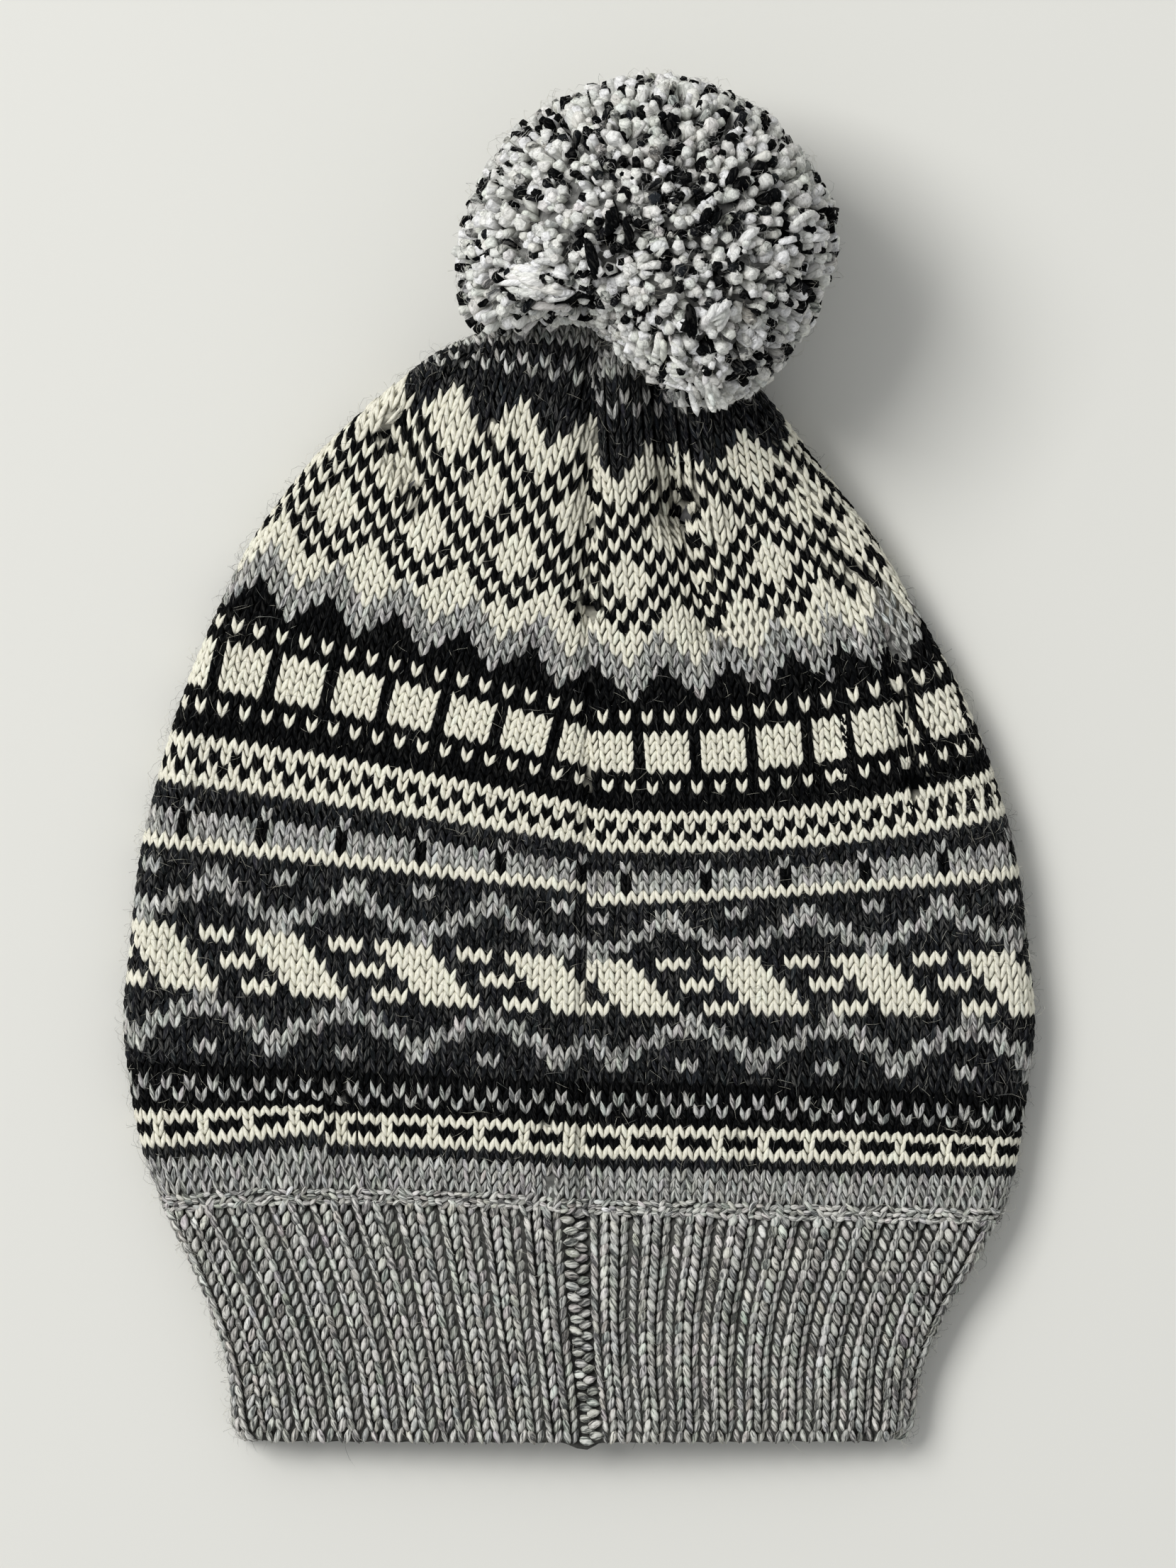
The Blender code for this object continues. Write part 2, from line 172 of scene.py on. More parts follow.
# The yarns: cream, light grey marl, charcoal heather, black, the band's grey marl, and the pompom's
# white. Colour, how streaky the yarn is, how much pale fibre lies in it, and how far strands differ
YARNS = {
    "W": ((0.870, 0.845, 0.715), 0.05, 0.05, 0.03),
    "L": ((0.400, 0.402, 0.378), 0.95, 0.85, 0.22),
    "D": ((0.0054, 0.0061, 0.0072), 0.40, 0.13, 0.50),
    "K": ((0.0014, 0.0016, 0.0019), 0.10, 0.03, 0.20),
    "R": ((0.430, 0.430, 0.398), 1.00, 0.95, 0.26),
    "P": ((0.855, 0.855, 0.812), 0.24, 0.20, 0.10),
}
# Each yarn's colour is darkened this much on the ground behind its stitches: painted shade in the
# gaps between the stitches
GAP_PAINTED_SHADE = {"W": 0.55, "L": 0.35, "D": 0.30, "K": 0.50}

# Rows of the chart that repeat one string, with the column of its first sign left and right of the
# seam
ZIGZAG = {-5: "DDDDDDDDDDDD", -4: "LDDDDLLDDDDL", -3: "DDDDLLLLDDDD", -2: "DDLLLDDLLLDD",
          -1: "LLLDDDDDDLLL", 0: "LDDDDDDDDDDL"}
SLANTS = {1: "WWWWWDDWWWD", 2: "DWWWWWDDDDD", 3: "WDWWWWWDDWW", 4: "DDDWWWWWDDD",
          5: "WWWDWWWWWDD"}
CHEVRONS = {6: "DDDDDLLDDDDD", 7: "DDDLLLLLLDDD", 8: "DLLLDDDDLLLD", 9: "LLDDDDDDDDLL",
            10: "LDDDDLLDDDDL"}
PLAIN_ROWS = {-52: "D", -49: "D", -48: "D", -25: "K", -23: "K", -18: "K", -16: "K", -15: "K",
              -14: "W", -11: "W", -10: "D", -6: "W", 11: "D", 12: "K", 15: "K", 16: "W",
              18: "W", 19: "D"}

# Legs of a body stitch: shares of its width and of the rows' pitch, then heights from the hat's face
LEG_FOOT = -0.01
LEG_HEAD = 0.51
LEG_RISE = 1.82
LEG_DROP = 0.20
LEG_HALF_WIDTH = 0.27
LEG_HALF_HEIGHT = 0.00066
LEG_CREST = -0.00005
LEG_SINK = 0.00070
LEG_HEAD_SINK = 0.00030
# Girth of a leg from foot to head, on the seam side and, with a point less, on the front
LEG_SWELL = (0.68, 1.0, 0.62)
FRONT_LEG_SWELL = (0.95, 0.9)
# How far stitches stray from their places, round the hat and up it
STRAY_AROUND = 0.00010
STRAY_UP = 0.00009
# Where the front's plainer stitches begin, and the pieces of the seam side with their rows
FRONT_TURN = 0.545
SEAM_SIDE_PIECES = (("crown", -60, -24), ("middle", -24, 1), ("lower", 1, 30))

# Where round a strand its edges run, in degrees from its side to its top
ROUND_TOP = (-12, 55, 125, 192)
PLAIN_TOP = (-15, 90, 195)
FULL_TOP = (-10, 40, 90, 140, 190)
ALL_ROUND = (0, 72, 144, 216, 288)
HAIR_ROUND = (90, 210, 330)
# Strands and shells keep this far above the floor
STRAND_CLEARANCE = 0.00003
SHELL_CLEARANCE = 0.00005
# Edge of a strand's own patch in the second map, as a share of the patch
PATCH_EDGE = 0.08

# The felt behind the stitches and the inner face: rings along the hat, closer towards the crown
GROUND_DEPTH = 0.00105
GROUND_RINGS = 96
INSIDE_RINGS = 30
GROUND_COLUMNS = 200
GROUND_CLOSER = 1.25
INNER_END = SHELL_LENGTH * 0.985
INSIDE_GREY = (0.11, 0.11, 0.11)
# The band's ground is the rib yarn made this much darker: painted shade between its stitches; its
# inner face is so many times brighter than that
BAND_GAP_PAINTED_SHADE = 0.18
BAND_INSIDE_BRIGHTER = 2.2
# Where the band's felt is past its rounded edge
ROUNDED_HEM = 0.0018
GROOVE_DEPTH = 0.0018
GROOVE_COLUMNS_PER_RIB = 6

# The band's stitches: shares of a rib's width and of the rows' pitch, then heights
SEAM_HALF_WIDTH = 0.0030
BAND_ROWS = 21
HEM_EDGE = 0.0006
RIB_COLUMN = 0.242
RIB_LEG_FOOT = 0.040
RIB_LEG_REACH = 0.155
RIB_LEG_RISE = 1.60
RIB_LEG_DROP = 0.15
RIB_LEG_ASIDE = 0.12
RIB_LEG_TILT = 2.4
RIB_LEG_HALF_WIDTH = 0.112
RIB_LEG_HALF_HEIGHT = 0.00075
RIB_LEG_SWELL = (0.80, 1.0, 0.76)
RIB_LEG_CREST = 0.0005
RIB_LEG_SINK = 0.0007
RIB_ROUNDING = 0.0036
RIB_ROUND_POWER = 2.2
HEM_ROUNDING = 0.0012
HEM_ROUND_REACH = 0.0016

# Loops that lie sideways, down the band's seam and along the ridge of purl bumps
SEAM_LOOP_TURN = 0.006316
SEAM_LOOP_REACH = 0.0023
SEAM_LOOP_LEAN = 0.0024
SEAM_LOOP_HALF_WIDTH = 0.00130
RIDGE_LINES = (22.05, 22.55, 23.05)
RIDGE_LOOP_SPACING = 0.0019
RIDGE_LOOP_HALF_WIDTH = 0.00080
LOOP_HALF_HEIGHT = 0.0008
LOOP_SWELL = (0.8, 1.0, 0.8)

# The pompom's chopped ends, from root to tip, and how much of them is dark
TUFT_COUNT = 6600
TUFT_LENGTH = 0.0075
TUFT_POINTS = (0.0, 0.50, 0.84, 0.985, 1.0)
TUFT_GIRTH = (0.84, 1.0, 0.80)
PALE_TUFT_RADIUS = 0.00165
DARK_TUFT_RADIUS = 0.00150
BLACK_SHARE = 0.20
BLACK_PATCHES = 0.13
HEART_DEPTH = 0.0038
# The heart's grey is painted shade seen between the yarn ends
HEART_PAINTED_SHADE = (0.22, 0.22, 0.21)
# The yarn ends are trimmed a little shorter on the far left, as the photo shows the outline there
POMPOM_TRIM = 0.0040
TRIM_TOWARD = math.radians(113.0)
TRIM_SPREAD = math.radians(35.0)

# Locks of longer ends that lie over the others: their yarn, from where to where across and along,
# how far they spread, and how many ends they have
LOCKS = (
    ("P", -0.0030, 0.3140, -0.0180, 0.3165, 0.0022, 12),
    ("P", -0.0060, 0.3175, -0.0140, 0.3205, 0.0018, 8),
    ("P", 0.0325, 0.2920, 0.0350, 0.2865, 0.0022, 16),
    ("P", 0.0230, 0.2960, 0.0290, 0.2925, 0.0014, 6),
    ("P", 0.0232, 0.3035, 0.0242, 0.2985, 0.0016, 7),
    ("P", 0.0102, 0.3033, 0.0134, 0.2970, 0.0016, 7),
    ("P", 0.0355, 0.3049, 0.0403, 0.3096, 0.0015, 7),
    ("P", 0.0418, 0.3246, 0.0462, 0.3270, 0.0013, 5),
    ("P", 0.0166, 0.3238, 0.0225, 0.3258, 0.0013, 6),
    ("P", 0.0553, 0.3302, 0.0640, 0.3317, 0.0016, 8),
    ("P", 0.0173, 0.2954, 0.0300, 0.2926, 0.0012, 4),
    ("K", 0.0300, 0.3112, 0.0300, 0.3025, 0.0007, 4),
    ("K", 0.0083, 0.3390, 0.0090, 0.3305, 0.0008, 4),
    ("K", 0.0023, 0.3286, 0.0047, 0.3190, 0.0008, 4),
    ("K", 0.0126, 0.3333, 0.0134, 0.3278, 0.0007, 3),
    ("K", 0.0403, 0.3428, 0.0450, 0.3468, 0.0009, 4),
    ("K", 0.0640, 0.3357, 0.0690, 0.3385, 0.0008, 3),
    ("K", 0.0340, 0.3317, 0.0370, 0.3365, 0.0008, 4),
)
# Black loops: middle, reach across and along, and the arc in degrees
BLACK_LOOPS = (
    (0.0010, 0.3118, 0.0036, 0.0020, 200.0, -190.0),
    (-0.0040, 0.3112, 0.0026, 0.0014, 180.0, -200.0),
    (0.0018, 0.3098, 0.0030, 0.0012, 170.0, 150.0),
)
BLACK_LOOP_LIFT = 0.0018
BLACK_LOOP_RADIUS = 0.00115
# Girth of a lock's ends, where they lie past the pompom, and how far they hang below their start
LOCK_RADIUS = 0.00125
LOCK_SWELL = (0.7, 0.9, 1.0, 1.0, 0.85)
LOCK_REST = 0.0240
LOCK_DROOP = 0.0090

# Stray fibres: length, how high they arch, and half width
BODY_HAIR = (0.0050, 0.0011, 0.000035)
OUTLINE_HAIR = (0.0048, 0.0026, 0.000032)
BAND_HAIR = (0.0055, 0.0012, 0.000035)
POMPOM_HAIR = (0.0055, 0.0035, 0.000035)
POMPOM_FUZZ = (0.0024, 0.0010, 0.000060)
BODY_HAIR_COUNT = 2600
OUTLINE_HAIR_COUNT = 2000
BAND_HAIR_COUNT = 500
POMPOM_HAIR_COUNT = 1500
POMPOM_FUZZ_COUNT = 12000
# The part of the band's length that hairs grow on
HAIRY_BAND = (0.001, 0.0610)

# The stage
PALE_FLOOR = (0.775, 0.770, 0.725)
FLOOR_CLOUD = (0.71, 0.71, 0.68)
FLOOR_SIZE = 4.0
LAMP_COLOUR = (1.0, 0.995, 0.985)
CAMERA_PLACE = (0.00244, -0.0066, 2.6)
HAT_TOP = 0.022
VIEW_HEIGHT = 0.4313
SENSOR_HEIGHT = 24.0


def column(table, columns, name):
    """One named column of a table, as an array."""
    return np.array([row[columns.index(name)] for row in table], dtype=float)


def smooth_read(places, values, place):
    """Read a table between its rows on a curve that neither overshoots nor steps."""
    slopes = np.diff(values) / np.diff(places)
    tangents = np.zeros(len(values))
    inner = np.zeros(len(values) - 2)
    same = slopes[:-1] * slopes[1:] > 0.0
    inner[same] = 2.0 / (1.0 / slopes[:-1][same] + 1.0 / slopes[1:][same])
    tangents[1:-1] = inner
    tangents[0], tangents[-1] = slopes[0], slopes[-1]
    place = np.clip(place, places[0], places[-1])
    i = np.clip(np.searchsorted(places, place, side="right") - 1, 0, len(slopes) - 1)
    step = places[i + 1] - places[i]
    t = (place - places[i]) / step
    rise = (3.0 - 2.0 * t) * t * t
    return (values[i] * (1.0 - rise) + values[i + 1] * rise
            + step * (tangents[i] * t * (1.0 - t) ** 2 - tangents[i + 1] * t * t * (1.0 - t)))


def section(along):
    """The shell's cross-section at distances from the hem: middle, half width and heights."""
    places = column(SECTIONS, SECTION_COLUMNS, "at")
    read = {name: smooth_read(places, column(SECTIONS, SECTION_COLUMNS, name),
                              along / SHELL_LENGTH) for name in SECTION_COLUMNS[1:]}
    side = LAY_HEIGHT * read["side"]
    return {"mid": HAT_WIDTH / 2 * read["mid"],
            "half": np.maximum(HAT_WIDTH / 2 * read["half"], side / 2 * 1.05),
            "base": LAY_HEIGHT * read["base"], "side": side, "arch": LAY_HEIGHT * read["arch"]}


def seam_aside(along):
    """How far right of the middle line the seam runs."""
    return np.interp(along * 1000.0, SEAM_ALONG, SEAM_ASIDE) / 1000.0


def fold_height(x, along):
    """How far the creases lower or raise the seam side at points seen from above."""
    height = np.zeros_like(x)
    for row in FOLDS + SMALL_FOLDS:
        fold = dict(zip(FOLD_COLUMNS, row))
        start_x, start_y = fold["x_from"] * HAT_WIDTH / 2, fold["at_from"] * SHELL_LENGTH
        run_x = fold["x_to"] * HAT_WIDTH / 2 - start_x
        run_y = fold["at_to"] * SHELL_LENGTH - start_y
        share = ((x - start_x) * run_x + (along - start_y) * run_y) / (run_x ** 2 + run_y ** 2)
        share = np.clip(share, 0.0, 1.0)
        near_x, near_y = start_x + run_x * share, start_y + run_y * share
        away = np.hypot(x - near_x, along - near_y) / (fold["width"] * LAY_HEIGHT)
        side = np.where(x > near_x, 1.0, -1.0)
        depth = fold["depth"] * LAY_HEIGHT * CREASE_EMPHASIS
        dent = -depth * np.exp(-away * away)
        dent += depth * fold["lip"] * side * away * np.exp(1 - away * away / 2) / 2
        height += np.where(away > CREASE_REACH, 0.0, dent)
    return height


def half_loop(along, side):
    """Length of the way from the seam round one side to the middle of the front."""
    cut = section(along)
    radius = cut["side"] / 2
    edge = cut["mid"] + side * (cut["half"] - radius)
    top_run = side * (edge - seam_aside(along))
    return top_run, math.pi * radius, side * (edge - cut["mid"])


def surface(along, turn):
    """Points of the hat's outer face."""
    along, turn = np.broadcast_arrays(np.asarray(along, float), np.asarray(turn, float))
    cut = section(along)
    side = np.where(turn >= 0.0, 1.0, -1.0)
    radius = cut["side"] / 2
    flat = cut["half"] - radius
    edge = cut["mid"] + side * flat
    seam = seam_aside(along)
    top_run, bend_run, front_run = half_loop(along, side)
    run = np.abs(turn) * (top_run + bend_run + front_run)
    x_top = np.where(run < top_run, seam + side * run, edge)
    across = np.clip((x_top - cut["mid"]) / np.maximum(flat, 1e-6), -1.0, 1.0)
    fade = np.clip((1.0 - np.abs(across)) / CREASE_FADE, 0.0, 1.0)
    z_top = cut["base"] + cut["side"] + cut["arch"] * (1 - across ** 2) ** 1.5
    z_top = z_top + fold_height(x_top, along) * fade * fade * (3 - 2 * fade)
    angle = np.clip((run - top_run) / radius, 0.0, math.pi)
    x_bend = edge + side * radius * np.sin(angle)
    z_bend = cut["base"] + radius + radius * np.cos(angle)
    x_front = edge - side * (run - top_run - bend_run)
    on_top = run < top_run
    on_front = run > top_run + bend_run
    x = np.where(on_top, x_top, np.where(on_front, x_front, x_bend))
    z = np.where(on_top, z_top, np.where(on_front, cut["base"], z_bend))
    return np.stack([x, along - MID_ALONG, z], axis=-1)


def unit(vectors):
    """Vectors brought to length 1."""
    return vectors / np.maximum(np.linalg.norm(vectors, axis=-1, keepdims=True), 1e-12)


def outward(along, turn):
    """Directions square to the hat's outer face, pointing out."""
    small_turn, small_along = 0.002, 0.0006
    turn = np.where(np.abs(turn) < small_turn, small_turn, turn)
    around = surface(along, turn + small_turn) - surface(along, turn - small_turn)
    up = surface(along + small_along, turn) - surface(along - small_along, turn)
    return unit(np.cross(around, up))


def row_along(row, turn):
    """How far from the hem a charted row lies at a place round the hat, in metres."""
    row, turn = np.broadcast_arrays(np.asarray(row, float), np.asarray(turn, float))
    rows = column(ROW_LINES, ROW_COLUMNS, "row")
    read = {name: np.interp(row, rows, column(ROW_LINES, ROW_COLUMNS, name)) / 1000.0
            for name in ROW_COLUMNS[1:]}
    right = turn >= 0.0
    seam = np.where(right, read["seam_right"], read["seam_left"])
    mid = np.where(right, read["right_mid"], read["left_mid"])
    edge = np.where(right, read["right"], read["left"])
    way = np.minimum(np.abs(turn), OUTLINE_TURN)
    a, b = MIDWAY_TURN, OUTLINE_TURN
    top = (seam * (way - a) * (way - b) / (a * b) + mid * way * (way - b) / (a * (a - b))
           + edge * way * (way - a) / (b * (b - a)))
    rest = np.clip((np.abs(turn) - OUTLINE_TURN) / (1.0 - OUTLINE_TURN), 0.0, 1.0)
    step = np.exp(-((turn - STEP_TURN) / STEP_REACH) ** 2 - ((row - STEP_ROW) / STEP_ROWS) ** 2)
    top = top + np.where(turn < STEP_TURN, STEP_RISE, 0.0) * step
    return top + (read["front"] - edge) * (0.5 - 0.5 * np.cos(math.pi * rest))


def stitch_width(row, loop):
    """Width of the stitches of a row, whose half round the hat is loop long."""
    blend = np.clip((row - CROWN_WIDTH_ROW) / (BODY_WIDTH_ROW - CROWN_WIDTH_ROW), 0.0, 1.0)
    return CROWN_STITCH_WIDTH * (1 - blend) + loop / COLUMNS_PER_SIDE * blend


def swallowed(row, side):
    """Columns that the seam has taken in by this row."""
    return np.interp(row, SWALLOWED_ROWS, SWALLOWED[side])


def stitch_places(row, col, side):
    """Where stitches of the chart lie: along, turn, their width, and whether they exist."""
    along = row_along(row, side * MIDWAY_TURN)
    for _ in range(4):
        loop = sum(half_loop(along, side))
        width = stitch_width(row, loop)
        flat_run = (col + 0.5 - swallowed(row, side)) * width
        run = flat_run
        inside = np.zeros(np.shape(run), bool)
        for tuck_along, tuck_aside, tuck_hidden in TUCKS:
            hidden = np.interp(along * 1000.0, tuck_along, tuck_hidden) / 1000.0 * (side > 0)
            tuck = np.interp(along * 1000.0, tuck_along, tuck_aside) / 1000.0 - seam_aside(along)
            past = run > tuck + hidden / 2
            run = np.where(past, run - hidden, run)
            inside = inside | (np.where(past, tuck - run, run - tuck) > width * TUCK_OVERLAP)
        turn = side * np.clip(np.maximum(run, FIRST_PLACE * width) / loop, 0.0, 1.0)
        along = row_along(row, turn)
    kept = (run > -width * PAST_SEAM) & (run < loop - width * SHORT_OF_FRONT)
    return along, turn, width, kept & (along < SHELL_LENGTH * 0.996) & ~inside


def chart_sign(row, col, side):
    """The yarn of a stitch: W cream, L light grey, D charcoal, K black.

    Columns are counted from the seam. A motif's two numbers are the columns of its middle, on the
    seam's left and on its right.
    """
    left = side < 0

    def off(left_centre, right_centre):
        """Columns to the right of a motif's middle."""
        return left_centre - col if left else col - right_centre

    even = (row + col) % 2 == 0
    if row in PLAIN_ROWS:
        return PLAIN_ROWS[row]
    if row <= -53 or 20 <= row <= 22:
        return "L"
    if row in (-51, -50):
        return "L" if even else "D"
    if -47 <= row <= -45:
        s = abs((off(10, 9) + 3) % 6 - 3)
        return "W" if s <= row + 47 else "D"
    if -44 <= row <= -32:
        s, r = off(13, 6) % 8, (row + 36) % 8
        near = min(abs(s - a) + abs(r - b) for a, b in ((0, 0), (8, 0), (0, 8), (8, 8), (4, 4)))
        return "W" if near <= 2 or near == 4 else "K"
    if -31 <= row <= -29:
        s = abs((off(6, 5) + 3) % 6 - 3)
        return "W" if s <= -29 - row else "L"
    if -28 <= row <= -26:
        s = abs((off(6, 5) + 3) % 6 - 3)
        return "L" if s <= -26 - row else "K"
    if row in (-24, -17):
        return "W" if col % 2 == 0 else "K"
    if -22 <= row <= -19:
        return "K" if off(5, 5) % 5 == 0 else "W"
    if row in (-13, -12):
        return "W" if even else "K"
    if row in (-9, -8, -7):
        stick = off(0, 3) % 7 == 0
        if row == -9:
            return "L" if stick else "D"
        return "K" if stick else "L"
    if row in ZIGZAG:
        return ZIGZAG[row][off(13, 13) % 12]
    if row in SLANTS:
        return SLANTS[row][off(17, -1) % 11]
    if row in CHEVRONS:
        return CHEVRONS[row][off(13, 15) % 12]
    if row in (13, 14):
        return "L" if even else "K"
    return "W" if col % 4 == 0 else "K"


def strand_pattern(sides, rings):
    """Faces of one strand, pointed or domed at both ends, and its corners' places on it."""
    faces, corners = [], []
    last = 1 + rings * sides

    def ring(j, k):
        """Number of a point of a ring."""
        return 1 + j * sides + k % sides

    def spot(j, k):
        """Where that point lies on the strand, round it and along it."""
        return (k / sides, (j + 1) / (rings + 1))

    for k in range(sides):
        faces.append((0, ring(0, k + 1), ring(0, k)))
        corners.append(((k + 0.5) / sides, 0.0))
        corners.extend([spot(0, k + 1), spot(0, k)])
    for j in range(rings - 1):
        for k in range(sides):
            faces.append((ring(j, k), ring(j, k + 1), ring(j + 1, k + 1), ring(j + 1, k)))
            corners.extend([spot(j, k), spot(j, k + 1), spot(j + 1, k + 1), spot(j + 1, k)])
    for k in range(sides):
        faces.append((ring(rings - 1, k), ring(rings - 1, k + 1), last))
        corners.extend([spot(rings - 1, k), spot(rings - 1, k + 1), ((k + 0.5) / sides, 1.0)])
    return faces, np.array(corners)


def lay_strands(name, lines, ups, half_width, half_height, swell, angles, colours, marl):
    """Make one mesh of many strands.

    lines holds each strand's middle line, from tip to tip. swell gives the girth at the points
    between the tips, as a share of the half width and height. angles say where round the strand
    its edges run.
    """
    count, places = lines.shape[:2]
    sides, rings = len(angles), places - 2
    tangent = np.empty_like(lines)
    tangent[:, 1:-1] = lines[:, 2:] - lines[:, :-2]
    tangent[:, 0] = lines[:, 1] - lines[:, 0]
    tangent[:, -1] = lines[:, -1] - lines[:, -2]
    tangent = unit(tangent)
    if ups.ndim == 2:
        ups = np.repeat(ups[:, None, :], places, axis=1)
    across = unit(np.cross(ups, tangent))
    top = np.cross(tangent, across)
    turn = np.radians(np.array(angles, float))
    middle = lines[:, 1:-1, None, :]
    girth = np.broadcast_to(np.asarray(swell, float), (count, rings))[:, :, None, None]
    wide = np.broadcast_to(np.asarray(half_width, float), (count,))[:, None, None, None]
    high = np.broadcast_to(np.asarray(half_height, float), (count,))[:, None, None, None]
    spread = (across[:, 1:-1, None, :] * np.cos(turn)[None, None, :, None] * wide * girth
              + top[:, 1:-1, None, :] * np.sin(turn)[None, None, :, None] * high * girth)
    body = (middle + spread).reshape(count, rings * sides, 3)
    verts = np.concatenate([lines[:, :1], body, lines[:, -1:]], axis=1)
    verts[..., 2] = np.maximum(verts[..., 2], STRAND_CLEARANCE)
    faces, corners = strand_pattern(sides, rings)
    per = verts.shape[1]
    loops = np.concatenate([np.array(f) for f in faces])
    sizes = np.array([len(f) for f in faces])
    all_loops = (loops[None, :] + (np.arange(count) * per)[:, None]).ravel()
    lengths = np.linalg.norm(np.diff(lines, axis=1), axis=-1).sum(axis=1) * 1000.0
    strand_uv = np.empty((count, len(loops), 2))
    strand_uv[..., 0] = corners[None, :, 0]
    strand_uv[..., 1] = corners[None, :, 1] * lengths[:, None]
    grid = math.ceil(math.sqrt(count))
    patch = np.stack([np.arange(count) % grid, np.arange(count) // grid], axis=-1)
    bake_uv = (patch[:, None] + PATCH_EDGE + (1 - 2 * PATCH_EDGE) * corners[None]) / grid
    return make_mesh(name, verts.reshape(-1, 3), all_loops, np.tile(sizes, count),
                     np.repeat(colours, per, axis=0), np.repeat(marl, per, axis=0),
                     strand_uv.reshape(-1, 2), bake_uv.reshape(-1, 2))


def make_mesh(name, verts, loops, sizes, colours, marl, strand_uv=None, bake_uv=None):
    """Make an object from arrays: points, corners, and each face's number of corners."""
    mesh = bpy.data.meshes.new(name)
    mesh.vertices.add(len(verts))
    mesh.vertices.foreach_set("co", verts.astype(np.float32).ravel())
    mesh.loops.add(len(loops))
    mesh.loops.foreach_set("vertex_index", loops.astype(np.int32))
    starts = np.concatenate([[0], np.cumsum(sizes)[:-1]])
    mesh.polygons.add(len(sizes))
    mesh.polygons.foreach_set("loop_start", starts.astype(np.int32))
    if strand_uv is not None:
        for layer, values in (("strand", strand_uv), ("OFBake", bake_uv)):
            mesh.uv_layers.new(name=layer)
            mesh.uv_layers[layer].data.foreach_set("uv", values.astype(np.float32).ravel())
    full = np.ones((len(verts), 4), np.float32)
    full[:, :3] = colours
    mesh.attributes.new("yarn", "FLOAT_COLOR", "POINT").data.foreach_set("color", full.ravel())
    mesh.attributes.new("marl", "FLOAT_VECTOR", "POINT").data.foreach_set(
        "vector", np.asarray(marl, np.float32).ravel())
    mesh.update(calc_edges=True)
    mesh.shade_smooth()
    piece = bpy.data.objects.new(name, mesh)
    bpy.context.scene.collection.objects.link(piece)
    return piece


class Reading:
    """A socket of a material. Sums and products of readings add the Math nodes for them."""

    def __init__(self, tree, socket):
        self.tree = tree
        self.socket = socket

    def math(self, operation, *values):
        """Add a Math node that works on the values."""
        node = self.tree.nodes.new("ShaderNodeMath")
        node.operation = operation
        for slot, value in zip(node.inputs, values):
            feed(self.tree, slot, value)
        return Reading(self.tree, node.outputs[0])

    def wave(self):
        """A sine of the reading."""
        return self.math("SINE", self)

    def __add__(self, other):
        return self.math("ADD", self, other)

    def __radd__(self, other):
        return self.math("ADD", other, self)

    def __sub__(self, other):
        return self.math("SUBTRACT", self, other)

    def __rsub__(self, other):
        return self.math("SUBTRACT", other, self)

    def __mul__(self, other):
        return self.math("MULTIPLY", self, other)

    def __rmul__(self, other):
        return self.math("MULTIPLY", other, self)

    def __truediv__(self, other):
        return self.math("DIVIDE", self, other)

    def __rtruediv__(self, other):
        return self.math("DIVIDE", other, self)


def feed(tree, slot, value):
    """Give a socket a reading or a plain value."""
    if isinstance(value, Reading):
        tree.links.new(value.socket, slot)
    else:
        slot.default_value = value


class Finish:
    """A matt material under way: its nodes come from node(), and feed its Principled shader."""

    def __init__(self, name, roughness):
        self.material = bpy.data.materials.new(name)
        self.material.use_nodes = True
        self.tree = self.material.node_tree
        self.shader = self.tree.nodes["Principled BSDF"]
        self.shader.inputs["Roughness"].default_value = roughness
        self.shader.inputs["Specular IOR Level"].default_value = 0.04

    def node(self, kind, settings=None, sockets=None, out=0):
        """Add a node, set it up, feed its sockets and give back one of its outputs."""
        node = self.tree.nodes.new("ShaderNode" + kind)
        for key, value in (settings or {}).items():
            setattr(node, key, value)
        for key, value in (sockets or {}).items():
            feed(self.tree, node.inputs[key], value)
        return Reading(self.tree, node.outputs[out])

    def parts(self, vector):
        """The three numbers of a vector."""
        split = self.node("SeparateXYZ", {}, {"Vector": vector}).socket.node
        return [Reading(self.tree, part) for part in split.outputs]

    def shade(self, brightness, colour):
        """A colour made darker or lighter."""
        grey = self.node("CombineXYZ", {}, {"X": brightness, "Y": brightness, "Z": brightness})
        return self.mix(1.0, colour, grey, "MULTIPLY")

    def smooth(self, value, low, high):
        """0 below low, 1 above high, and an even curve between."""
        return self.node("MapRange", {"interpolation_type": "SMOOTHSTEP"},
                         {"Value": value, "From Min": low, "From Max": high})

    def mix(self, factor, one, other, blend="MIX"):
        """Mix two colours."""
        settings = {"data_type": "RGBA", "blend_type": blend}
        return self.node("Mix", settings, {0: factor, 6: one, 7: other}, out=2)

    def give(self, **sockets):
        """Feed the shader's own sockets."""
        for key, value in sockets.items():
            feed(self.tree, self.shader.inputs[key.replace("_", " ")], value)
        return self.material


